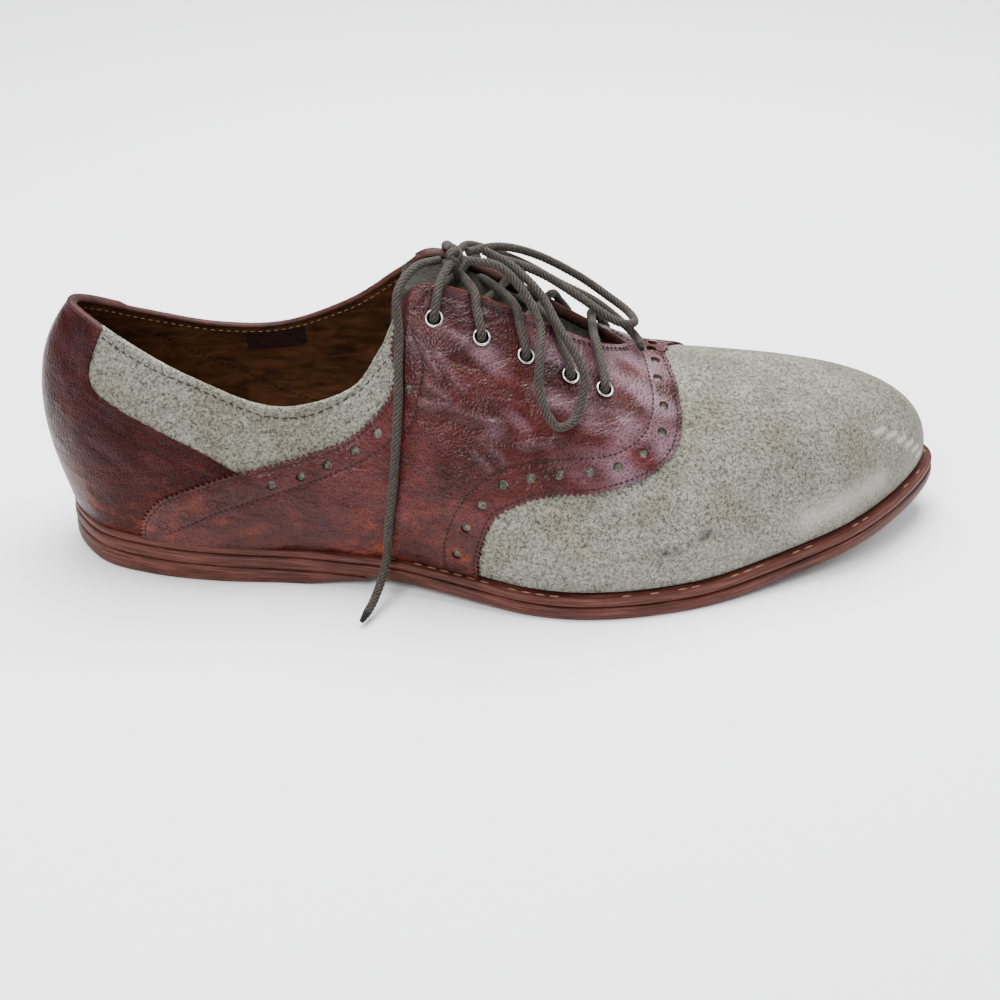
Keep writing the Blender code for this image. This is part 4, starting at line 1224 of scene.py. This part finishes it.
def folds(row, up, size, stretch, seed):
    """Soft ridges this wide in metres and longer one way: noise in a turned, stretched space."""
    spots = skin(row, up)
    turned_spots = np.column_stack([
        (spots[:, 0] * 0.8 - spots[:, 2] * 0.6) / (size * stretch),
        spots[:, 1] / (size * 1.6),
        (spots[:, 0] * 0.6 + spots[:, 2] * 0.8) / size,
    ]) + seed
    return np.array([noise.noise(spot) for spot in turned_spots])


def painted(lines, width):
    """A rule that is 1 on these lines and fades out over the width."""
    tree = tree_of([np.asarray(line, float) for line in lines], 0.001)
    return lambda row, up: np.exp(-((distances(tree, row, up) / width) ** 2))


# How far the layers lie outside the upper's surface, and the lining inside it, in metres
SADDLE_LIFT, COUNTER_LIFT, COLLAR_LIFT, LINING_DEPTH = 0.00135, 0.0010, 0.00032, 0.00132
# Ridges and hollows that show on the outer side, below the eyelets
RIDGES = (
    ((8.13, 0.779), (8.25, 0.754), (8.34, 0.721)),
    ((8.37, 0.783), (8.49, 0.75), (8.59, 0.717), (8.70, 0.692)),
    ((7.81, 0.650), (8.14, 0.642), (8.44, 0.642), (8.64, 0.625), (8.95, 0.617), (9.18, 0.604)),
    ((8.04, 0.700), (8.24, 0.679), (8.43, 0.662)), ((8.64, 0.512), (8.73, 0.492), (8.82, 0.475)),
    ((8.90, 0.537), (8.98, 0.525), (9.06, 0.508)), ((9.38, 0.554), (9.59, 0.567), (9.80, 0.571)),
    ((8.38, 0.867), (8.57, 0.846), (8.78, 0.833)),
)
HOLLOWS = (
    ((8.67, 0.779), (8.92, 0.758), (9.14, 0.729), (9.27, 0.713)),
    ((7.48, 0.625), (7.94, 0.600), (8.42, 0.592), (8.72, 0.579)),
    ((9.53, 0.762), (9.50, 0.683), (9.60, 0.629), (9.78, 0.600)),
)
BLOOMS = (
    ((8.94, 0.796), (9.14, 0.796), (9.24, 0.762)), ((9.10, 0.833), (9.20, 0.80)),
    ((9.80, 0.745), (9.90, 0.71)), ((10.05, 0.84), (10.15, 0.80)), ((9.10, 0.613), (9.55, 0.642)),
)
ridge_lines, hollow_lines, bloom_lines = (
    [through(line, 6) for line in lines] for lines in (RIDGES, HOLLOWS, BLOOMS)
)
# The ridge mask also places a painted highlight on the ridges, and the hollow mask keeps it off
# the hollows
on_ridge, near_ridge = painted(ridge_lines, 0.0010), painted(ridge_lines, 0.0032)
on_hollow, on_bloom = painted(hollow_lines, 0.0022), painted(bloom_lines, 0.0042)
saddle_tree = tree_of(saddle_seams)
edge_tree = tree_of([rear_teeth, front_teeth, mirrored(rear_teeth)])
eyelet_tree = tree_of([circle_on_skin(row, up, 0.001, 16) for row, up in EYELETS], 0.0005)


def saddle_height(row, up):
    """The saddle: folds, creases that flex, dips at seams, edges and eyelets."""
    lateral = outer_row(row)
    base = SADDLE_LIFT + 0.00030 * folds(row, up, size=0.016, stretch=1.5, seed=3.0)
    base = base + 0.00085 * on_ridge(row, up) + 0.00045 * near_ridge(row, up)
    base = base - 0.00060 * on_hollow(row, up)
    flexing = fraction(1 - np.abs(up - 0.62) / 0.3) * fraction(1 - np.abs(lateral - 9.6) / 2.6)
    creases = np.abs(folds(row, up, size=0.0052, stretch=4.5, seed=11.0))
    base = base + flexing * (0.00130 * creases - 0.0002)
    base = base + 0.00010 * folds(row, up, size=0.0035, stretch=2.4, seed=7.0)
    base = base - dip(distances(saddle_tree, row, up), depth=0.00032, width=0.0008)
    base = base - dip(distances(edge_tree, row, up), depth=0.00035, width=0.0006)
    base = base - dip(distances(eyelet_tree, row, up), depth=0.00022, width=0.0035)
    # Over the counter it has to climb one more layer of leather
    climb = fraction((4.1 - lateral) / 0.5) * fraction((0.60 - up) / 0.08)
    return base + 0.0009 * climb * climb * (3 - 2 * climb)


def worn_low(row, up):
    """Orange brown wear, in patches above the sole."""
    low = fraction((0.42 - up) / 0.3)
    patches = 0.5 + 0.9 * folds(row, up, size=0.014, stretch=2.2, seed=20.0)
    return fraction(low * fraction(patches) * 0.85)


def bloom_and_highlight_rule(row, up):
    """Purple bloom in patches by the eyelets and thinly over the front band, and painted
    highlight:
    on the ridges, thinly along the top and across the middle of the counter.
    """
    lateral = outer_row(row)
    # Painted highlight, thin, over the top of the saddle
    high = fraction((up - 0.55) / 0.3) * 0.12
    front = fraction((lateral - 9.6) / 1.4) * 0.85
    # Painted highlight across the middle of the counter
    heel = fraction((3.2 - lateral) / 1.5) * fraction(1 - np.abs(up - 0.42) / 0.25) * 0.08
    broken = np.clip(0.5 + 1.5 * folds(row, up, size=0.006, stretch=2.2, seed=23.0), 0, 1.3)
    spots = 0.7 * on_bloom(row, up) * broken
    # Painted highlight on the ridges; the hollows are kept without it, so they stay dark
    spots = spots + 0.32 * on_ridge(row, up) - 0.6 * on_hollow(row, up)
    return fraction((high + front + heel) * broken + spots)


def painted_shade_rule(row, up):
    """Painted shade over the upper saddle round the eyelets, more in some places than in others.
    """
    high = fraction((up - 0.66) / 0.14) * fraction((12.2 - outer_row(row)) / 1.5)
    return high * np.clip(0.36 + 0.8 * folds(row, up, size=0.009, stretch=1.6, seed=91.0), 0, 0.8)


saddle_shape = lasted(
    rows=(1.5, 29.6), ups=(0.0, 1.0), cells=(620, 96), height=saddle_height, thickness=0.0011,
    outline=saddle_outline, holes=[*holes, *eyelet_holes],
    paint={"worn": worn_low, "bloom_and_highlight": bloom_and_highlight_rule, "painted_shade": painted_shade_rule},
)
place_mesh("saddle_leather", saddle_shape, OXBLOOD, ["saddle"], crisp=50)

counter_tree = tree_of(counter_seams)
counter_edge_tree = tree_of([counter_half, counter_other])


def counter_height(row, up):
    """The counter: soft folds, with dips at its seams and edges."""
    base = COUNTER_LIFT + 0.00022 * folds(row, up, size=0.02, stretch=1.5, seed=31.0)
    base = base - dip(distances(counter_tree, row, up), depth=0.00030, width=0.0008)
    return base - dip(distances(counter_edge_tree, row, up), depth=0.00030, width=0.0006)


counter_shape = lasted(
    rows=(-4.1, 4.1), ups=(0.0, 1.0), cells=(170, 90), height=counter_height, thickness=0.0009,
    outline=counter_outline, paint={"worn": worn_low, "bloom_and_highlight": bloom_and_highlight_rule},
)
# The counter takes the darker copy of the oxblood: painted shade
place_mesh(
    "counter_leather", counter_shape, SHADED_OXBLOOD, ["heel_counter"], crisp=50,
)

# %% [markdown]
# ## The suede upper
#
# The vamp and the outer quarter are suede. They are one skin here, because their joins lie under
# the saddle and the counter. Pale rubbed places run along the toe, with a hatch of white scuffs
# at its tip and one dark smudge on the outer side: these are painted into attributes.

# %% Suede shell
smudge_line = through(((11.20, 0.196), (11.55, 0.208), (11.99, 0.237)), 6)
faint_line = through(((10.95, 0.175), (11.30, 0.190), (11.60, 0.205)), 6)
crease_line = through(((13.30, 0.135), (13.80, 0.142), (14.48, 0.135)), 6)
scuff_lines = [
    through(((14.85 + 0.12 * k, 0.335 - 0.052 * k), (15.02 + 0.12 * k, 0.325 - 0.052 * k)), 4)
    for k in range(6)
]
on_smudge, on_faint, on_crease = (painted([line], width) for line, width in (
    (smudge_line, 0.0016), (faint_line, 0.0012), (crease_line, 0.0045),
))
on_scuff = painted(scuff_lines, 0.0009)


def chalk_rule(row, up):
    """Pale rubbed places: along the toe and the lower edge, on the crease, and the scuffs."""
    lateral = outer_row(row)
    toe = fraction((lateral - 10.0) / 6.0) * 0.04
    rim = fraction((0.32 - up) / 0.3) * fraction((lateral - 8.0) / 3.0) * 0.14
    broken = 0.75 + 0.7 * folds(row, up, size=0.012, stretch=1.4, seed=50.0)
    soft = np.clip((toe + rim) * broken, 0, 0.75)
    return fraction(soft + 0.9 * on_scuff(row, up) + 0.45 * on_crease(row, up))


def smudge_rule(row, up):
    """Dark places: one smudge by the ball, the browner outer quarter, and dust on the toe."""
    quarter = fraction((7.2 - row) / 0.8)
    broken = fraction(0.5 + 1.6 * folds(row, up, size=0.0025, stretch=1.0, seed=60.0))
    dark = 0.85 * on_smudge(row, up) + 0.45 * on_faint(row, up)
    dust = 0.12 * fraction((outer_row(row) - 12.0) / 2.0) * fraction(up / 0.3)
    return fraction(dark * broken + 0.16 * quarter + dust)


collar_tree = tree_of(collar_seams)


def shell_height(row, up):
    """The suede: nearly smooth, and tucked in at the welt."""
    tuck = fraction(1 - up / 0.02)
    base = 0.00018 * folds(row, up, size=0.02, stretch=1.5, seed=40.0)
    base = base + 0.00007 * folds(row, up, size=0.0016, stretch=1.0, seed=45.0)
    base = base - dip(distances(collar_tree, row, up), depth=0.00045, width=0.0011)
    base = base + 0.0003 * on_crease(row, up)
    return base - 0.0009 * tuck**2


shell = lasted(
    rows=(0.0, ROWS), ups=(0.0, 1.0), cells=(520, 84), height=shell_height, thickness=0.0012,
    holes=eyelet_holes, paint={"chalk": chalk_rule, "smudge": smudge_rule},
)
place_mesh("suede_upper", shell, SUEDE, ["upper"], crisp=50)

# %% [markdown]
# The inner side has no suede at the collar: the same opening there is filled with oxblood
# leather, set in under the saddle and the counter.

# %% Inner collar panel
def inner_collar_height(row, up):
    """Set in under the saddle and the counter."""
    base = COLLAR_LIFT + 0.00015 * folds(row, up, size=0.015, stretch=1.5, seed=70.0)
    return base - dip(distances(collar_tree, row, up), depth=0.0003, width=0.0009)


inner_collar = lasted(
    rows=(24.0, 30.2), ups=(0.42, 1.0), cells=(100, 50), height=inner_collar_height,
    thickness=0.0004, paint={"worn": worn_low},
)
place_mesh("inner_collar_panel", inner_collar, OXBLOOD, crisp=50)

# %% [markdown]
# ## The lining
#
# The lining is one tan leather skin inside the upper. It has wrinkled along the foot where it
# bends, so its folds are real relief. A plain dark rectangle on its inner side stands where such
# a shoe has its stamp; it is left bare.

# %% Lining
STAMP_ROWS, STAMP_UPS, STAMP_IN = (26.72, 27.62), (0.80, 0.955), 0.0005


def lining_height(row, up):
    """Inside the upper, with long wrinkles that fade out at the opening."""
    wrinkles = np.abs(folds(row, up, size=0.0035, stretch=7.0, seed=80.0))
    wrinkles = wrinkles * fraction((1 - up) / 0.1)
    waves = folds(row, up, size=0.012, stretch=1.5, seed=85.0)
    return -LINING_DEPTH - 0.00055 * wrinkles - 0.00015 * waves


lining_shape = lasted(
    rows=(0.0, ROWS), ups=(0.02, 1.0), cells=(400, 70), height=lining_height, thickness=0.0006,
    holes=eyelet_holes,
)
place_mesh("lining", lining_shape, LINING, crisp=50)
stamp_shape = lasted(
    rows=STAMP_ROWS, ups=STAMP_UPS, cells=(40, 16), thickness=0.0002,
    height=lambda row, up: lining_height(row, up) - STAMP_IN,
)
place_mesh("lining_patch", stamp_shape, STAMP, crisp=50)

# %% [markdown]
# ## Topline and facing edges
#
# Round the opening the layers end. At the collar the suede or leather is folded over into a round
# edge. Along the outer facing the saddle's cut edge is left raw, and its rust brown core shows.
# Round the throat and along the inner facing the edge is given the dark folded finish instead,
# as painted shade for the throat. Each edge is an oval swept along the opening.

# %% Edges of the opening
EDGE_SIDES, EDGE_BUMPS = 12, 0.0001


def edge_band(name, rows, centre, half_thick, half_rise, finish, slot):
    """An oval swept along the opening, thinner at its two ends and a little uneven."""
    rows = np.linspace(*rows, max(12, int(abs(rows[1] - rows[0]) * (26))))
    ups = np.ones(len(rows))
    outward = skin_outward(rows, ups)
    rise = unit(slopes(rows, ups)[1])
    spots = sampled(rows, ups, centre)
    rings = []
    for k, spot in enumerate(spots):
        ends = min(k, len(spots) - 1 - k) / 3
        thin = 0.5 + 0.5 * min(1.0, ends)
        uneven = EDGE_BUMPS * noise.noise(Vector(spot) * 900)
        across = outward[k] * (half_thick * thin + uneven)
        upward = rise[k] * (half_rise * thin + uneven)
        rings.append(spot + ring_of(across, upward, EDGE_SIDES))
    place_mesh(name, closed_up(grid_of(rings, wrap=True)), finish, crisp=70)


# Name, rows, height of its middle, half its thickness, half its rise, finish, slot
EDGES = (
    ("collar_edge_suede", (1.45, 6.95), -0.0008, 0.0014, 0.0012, SUEDE, "suede"),
    ("heel_edge_fold", (-1.70, 1.62), -0.0004, 0.0018, 0.0012, FOLD, "oxblood_leather"),
    ("collar_edge_fold", (24.35, 29.45), -0.0008, 0.0013, 0.0009, FOLD, "oxblood_leather"),
    ("facing_edge_raw", (6.75, 12.0), -0.0003, 0.0017, 0.0007, RAW_EDGE, "oxblood_leather"),
    # Painted shade: the inner facing's cut edge takes the dark folded finish, for the throat it
    # lies in
    ("facing_edge_inner", (11.9, 24.45), -0.0003, 0.0015, 0.0005, FOLD, "oxblood_leather"),
)
for edge_row in EDGES:
    edge_band(*edge_row)

# %% [markdown]
# ## The tongue
#
# The tongue is a thin piece of suede under the facings. Its cut edges are raw, so fibres stand
# out from them. Its shape comes from stations across the throat: both sides follow the inside of
# the upper, and the middle bridges them, a little low so that the lace passes over it.

# %% Tongue
TONGUE_STATIONS = (
    (12.6, 0.000, 0.000), (12.0, 0.000, 0.000), (11.3, 0.000, 0.000), (10.6, 0.000, 0.000),
    (9.9, 0.000, 0.000), (9.2, 0.000, 0.000), (8.5, 0.000, 0.000), (7.8, 0.000, 0.000),
    (7.8, 0.004, 0.000), (7.8, 0.0085, 0.001),
)
TONGUE_UNDER = np.array((0.84, 0.92, 1.00))
TONGUE_MIDDLE, TONGUE_TOP_WIDTH, TONGUE_THICK = 5, 0.78, 0.0018
TONGUE_SAG, TONGUE_WIDEST = 0.005, 0.028


def tongue_line(row, back, down):
    """One line across the tongue, from under the outer facing to the inner one."""
    depth = -(UPPER_WALL + 2 * FIT_GAP)
    lateral = sampled(np.full(3, row), TONGUE_UNDER, depth) - SHIFT
    medial = sampled(np.full(3, float(medial_row(row))), TONGUE_UNDER, depth) - SHIFT
    width = np.linalg.norm(medial[-1] - lateral[-1])
    leaving, arriving = (unit(side[-1] - side[-2]) for side in (lateral, medial))
    middle = []
    for k in range(1, TONGUE_MIDDLE + 1):
        s = k / (TONGUE_MIDDLE + 1)
        spot = (
            (1 + 2 * s) * (1 - s) ** 2 * lateral[-1]
            + s * (1 - s) ** 2 * width * leaving * 0.5
            + s**2 * (3 - 2 * s) * medial[-1]
            + s**2 * (1 - s) * width * arriving * 0.5
        )
        sag = TONGUE_SAG * min(1.0, width / TONGUE_WIDEST) * math.sin(math.pi * s)
        middle.append(spot - [0, 0, sag])
    line = np.array([*lateral, *middle, *medial[::-1]])
    narrow = 1 - (1 - TONGUE_TOP_WIDTH) * back / TONGUE_STATIONS[-1][1]
    centre = line.mean(axis=0)
    return centre + (line - centre) * [1, narrow, 1] + [-back, 0, -down]


tongue_lines = np.array([tongue_line(*station) for station in TONGUE_STATIONS])
tongue_shape = grid_of(tongue_lines + SHIFT)
bmesh.ops.recalc_face_normals(tongue_shape, faces=tongue_shape.faces)
if sum(face.normal.z for face in tongue_shape.faces) < 0:
    bmesh.ops.reverse_faces(tongue_shape, faces=tongue_shape.faces)
tongue_base = linked("tongue_base", mesh_of("tongue_base", tongue_shape))
rounder = tongue_base.modifiers.new("smooth", "SUBSURF")
rounder.levels = rounder.render_levels = 3
thicker = tongue_base.modifiers.new("thickness", "SOLIDIFY")
thicker.thickness, thicker.offset = TONGUE_THICK, -1.0
tongue_shape = bmesh.new()
tongue_shape.from_mesh(applied(tongue_base))
bpy.data.objects.remove(tongue_base)
place_mesh("tongue_suede", tongue_shape, TONGUE_SUEDE, ["tongue"], crisp=60)

# %% [markdown]
# ## Eyelets
#
# An eyelet is a short metal tube rolled over at its top. Its profile, a barrel with a rounded
# flange, is spun about its axis and set on the leather at each hole.

# %% Eyelets
# Radius and height over the upper of each corner of the profile, in metres
EYELET_PROFILE = (
    (0.00222, -0.0022), (0.0025, -0.0022), (0.0025, 0.0013), (0.0027, 0.00140), (0.0029, 0.00158),
    (0.0030, 0.0018), (0.00285, 0.0020), (0.0026, 0.00208), (0.00238, 0.0020), (0.00222, 0.0017),
)
eyelets_shape = bmesh.new()
for row, up in EYELETS:
    ring = bmesh.new()
    corners = [ring.verts.new((radius, 0, height)) for radius, height in EYELET_PROFILE]
    loop_edges = [ring.edges.new((a, b)) for a, b in zip(corners, corners[1:] + corners[:1])]
    bmesh.ops.spin(
        ring, geom=[*corners, *loop_edges], axis=(0, 0, 1), cent=(0, 0, 0), steps=28,
        angle=2 * math.pi, use_merge=True,
    )
    bmesh.ops.remove_doubles(ring, verts=ring.verts, dist=1e-7)
    bmesh.ops.recalc_face_normals(ring, faces=ring.faces)
    outward = Vector(skin_outward(row, up))
    turn = outward.to_track_quat("Z", "Y").to_matrix().to_4x4()
    place = Matrix.Translation(sampled(row, up)[0]) @ turn
    bmesh.ops.transform(ring, matrix=place, verts=ring.verts)
    add_shape(eyelets_shape, ring)
eyelet_nodes = [f"eyelet_{side}_{k}" for side in ("lateral", "medial") for k in range(1, 6)]
place_mesh("eyelets", eyelets_shape, NICKEL, eyelet_nodes, crisp=50)

# %% [markdown]
# ## Lacing
#
# The lace crosses over one edge of the throat, dives under the other and comes up through an
# eyelet there. Only what shows is made: from each eyelet over the near edge, across the gap and
# in under the far edge. The last bar, at the toe end, lies over both edges, and the first strands
# rise to the knot.

# %% Lacing
# Heights of the lace's middle over the upper: on the leather, then in, at and over an eyelet's rim
OVER = 0.0021 + LACE_DIAMETER / 2
INSIDE, AT_RIM, OVER_RIM = -0.0030, 0.0012, 0.0031
LATERAL_EYELETS, MEDIAL_EYELETS = EYELETS[:5], EYELETS[5:]


def spot_at(row, up, height):
    """One place over the upper, measured from the heel back."""
    return sampled(row, up, height)[0] - SHIFT


def out_of_eyelet(row, up, lean=0.0, climb=0.02):
    """The first three points of a lace that comes out of an eyelet."""
    over = spot_at(row + lean, up + climb, OVER_RIM)
    return [spot_at(row, up, INSIDE), spot_at(row, up, AT_RIM), over]


def strand(start, end_row, mid_lift):
    """From inside an eyelet, over its edge, and in under the far edge at this row."""
    row, up = start
    lean = (2 * TOE_ROW - end_row - row) / 3
    near = spot_at(row + lean * 0.7, 1.0, OVER - 0.0006)
    dive = spot_at(end_row + lean * 0.3, 1.0, -0.0040)
    under = spot_at(end_row, 0.95, -0.0048)
    return [
        *out_of_eyelet(row, up, lean * 0.10, 0.018),
        spot_at(row + lean * 0.4, (up + 1) / 2 + 0.01, OVER - 0.0003), near,
        near * 0.55 + dive * 0.45 + [0, 0, mid_lift], dive, under,
    ]


ways = []
for k in range(1, 5):
    ways.append(strand(LATERAL_EYELETS[k], MEDIAL_EYELETS[k - 1][0], 0.0012))
    ways.append(strand(MEDIAL_EYELETS[k], LATERAL_EYELETS[k - 1][0], -0.0006))
(first_row, first_up), (other_row, other_up) = LATERAL_EYELETS[4], MEDIAL_EYELETS[4]
bar_near, bar_far = spot_at(first_row + 0.1, 1.0, OVER), spot_at(other_row - 0.1, 1.0, OVER)
ways[6] = [
    *out_of_eyelet(first_row, first_up), spot_at(first_row + 0.05, 0.92, OVER), bar_near,
    (bar_near + bar_far) / 2, bar_far, spot_at(other_row - 0.05, 0.92, OVER),
    *out_of_eyelet(other_row, other_up)[::-1],
]
ways.pop(7)
for (row, up), side in ((LATERAL_EYELETS[0], -1), (MEDIAL_EYELETS[0], 1)):
    over_edge = spot_at(row, 1.0, OVER - 0.0004)
    ways.append([
        *out_of_eyelet(row, up), spot_at(row, (up + 1) / 2 + 0.01, OVER), over_edge,
        over_edge * 0.4 + KNOT_AT * 0.6 + [0, 0.001 * side, 0.0012],
        KNOT_AT + [0, 0.001 * side, -0.001],
    ])
lacing_shape = bmesh.new()
for way in ways:
    add_shape(lacing_shape, cord_shape(cord_rings(way)[0]))
place_mesh("lacing", lacing_shape, CORD, ["lace_crossings"], crisp=70)

# %% [markdown]
# ## Stitches
#
# Each stitch is a short bead of waxed thread that lies in the dip of its seam. Stitches repeat by
# the hundred, so one has few faces: a six sided sphere, stretched along the seam.

# %% Stitches
def stitch_row(shape, line, height, pitch, length, width, thick):
    """Adds stitches along a line on the last, at a height that may vary along it."""
    places = evenly(np.asarray(line, float), pitch)
    row, up = places.T
    spots = sampled(row, up, height(row, up))
    along = unit(np.gradient(spots, axis=0))
    outward = skin_outward(row, up)
    one = bmesh.new()
    for spot, forward, out in zip(spots, along, outward):
        across = unit(np.cross(out, forward))
        axes = np.column_stack([forward * length / 2, across * width / 2, out * thick / 2])
        place = Matrix.Translation(spot) @ Matrix(axes).to_4x4()
        bmesh.ops.create_uvsphere(one, u_segments=6, v_segments=4, radius=1.0, matrix=place)
    add_shape(shape, one)


ring_lines = [circle_on_skin(row, up, HOLE_RADIUS, 25)[np.r_[0:25, 0]] for row, up in ring_places]
lining_rows = [np.column_stack([np.linspace(24.6, 31.2, 60), np.full(60, 0.962)])]
heel_grip = through(((28.9, 0.86), (28.2, 0.70), (27.3, 0.50), (26.4, 0.34), (25.6, 0.26)), 8)
# Pitch, then length, width and thickness of one stitch
PLAIN = (0.0019, 0.0015, 0.00062, 0.0005)
FINE = (0.0022, 0.00045, 0.0004)
# Name, lines, the surface they lie on, how far above it, thread, slot, sizes
SEAMS = (
    (
        "saddle_stitches", saddle_seams, saddle_height, 0.00008, DARK_THREAD,
        "oxblood_leather", PLAIN,
    ),
    (
        "pressed_rings", ring_lines, saddle_height, -0.00002, DARK_THREAD, "oxblood_leather",
        (0.0005, 0.0009, 0.0004, 0.0003),
    ),
    (
        "counter_stitches", counter_seams, counter_height, 0.00008, DARK_THREAD,
        "oxblood_leather", PLAIN,
    ),
    (
        "collar_stitches", collar_seams[:1], shell_height, 0.0001, DARK_THREAD, "suede",
        (0.0030, *FINE),
    ),
    (
        "inner_collar_stitches", collar_seams[1:], inner_collar_height, 0.0001, DARK_THREAD,
        "oxblood_leather", PLAIN,
    ),
    (
        "lining_stitches", lining_rows, lining_height, -0.00068, PALE_THREAD, "lining_leather",
        (0.0028, 0.0020, *FINE[1:]),
    ),
    (
        "heel_grip_stitches", [heel_grip], lining_height, -0.00066, DARK_THREAD,
        "lining_leather", (0.0024, *PLAIN[1:]),
    ),
)
for name, lines, surface, above, thread, slot, sizes in SEAMS:
    seam_shape = bmesh.new()
    for line in lines:
        stitch_row(seam_shape, line, lambda row, up: surface(row, up) + above, *sizes)
    bmesh.ops.recalc_face_normals(seam_shape, faces=seam_shape.faces)
    place_mesh(name, seam_shape, thread, crisp=80)

# %% [markdown]
# ## Welt stitches
#
# A row of pale linen thread runs along the welt, close to the upper, with a stitch every five
# millimetres. Nearly half of them have worn away, and only the tops of the others show.

# %% Welt stitches
WELT_STITCH_IN, WELT_PITCH, WELT_STITCH_UP = 0.0026, 0.0048, 0.00005
# Half the length, width and thickness of a stitch, and the share of them that has worn away
WELT_STITCH, WORN_AWAY = (0.0018, 0.00035, 0.00022), 0.45
welt_shape = bmesh.new()
welt_rows = np.linspace(0, ROWS, 1200)
welt_line = sole_edge(welt_rows) - sole_outward(welt_rows) * WELT_STITCH_IN
reach = reach_of(welt_line)
for at in np.arange(0, reach[-1], WELT_PITCH):
    if random.random() < WORN_AWAY:
        continue
    spot = np.array([np.interp(at, reach, welt_line[:, k]) for k in (0, 1)])
    ahead = np.array([np.interp(at + 0.001, reach, welt_line[:, k]) for k in (0, 1)])
    z, z_ahead = (float(seat(x)) - FIT_GAP + WELT_STITCH_UP for x in (spot[0], ahead[0]))
    forward = unit(np.array([*(ahead - spot), z_ahead - z]))
    across = unit(np.cross((0, 0, 1), forward))
    axes = (forward, across, np.cross(forward, across))
    turn = Matrix(np.column_stack([axis * half for axis, half in zip(axes, WELT_STITCH)]))
    place = Matrix.Translation(np.array([*spot, z]) + SHIFT) @ turn.to_4x4()
    bmesh.ops.create_uvsphere(welt_shape, u_segments=6, v_segments=4, radius=1.0, matrix=place)
bmesh.ops.recalc_face_normals(welt_shape, faces=welt_shape.faces)
place_mesh("welt_stitches", welt_shape, PALE_THREAD, crisp=80)
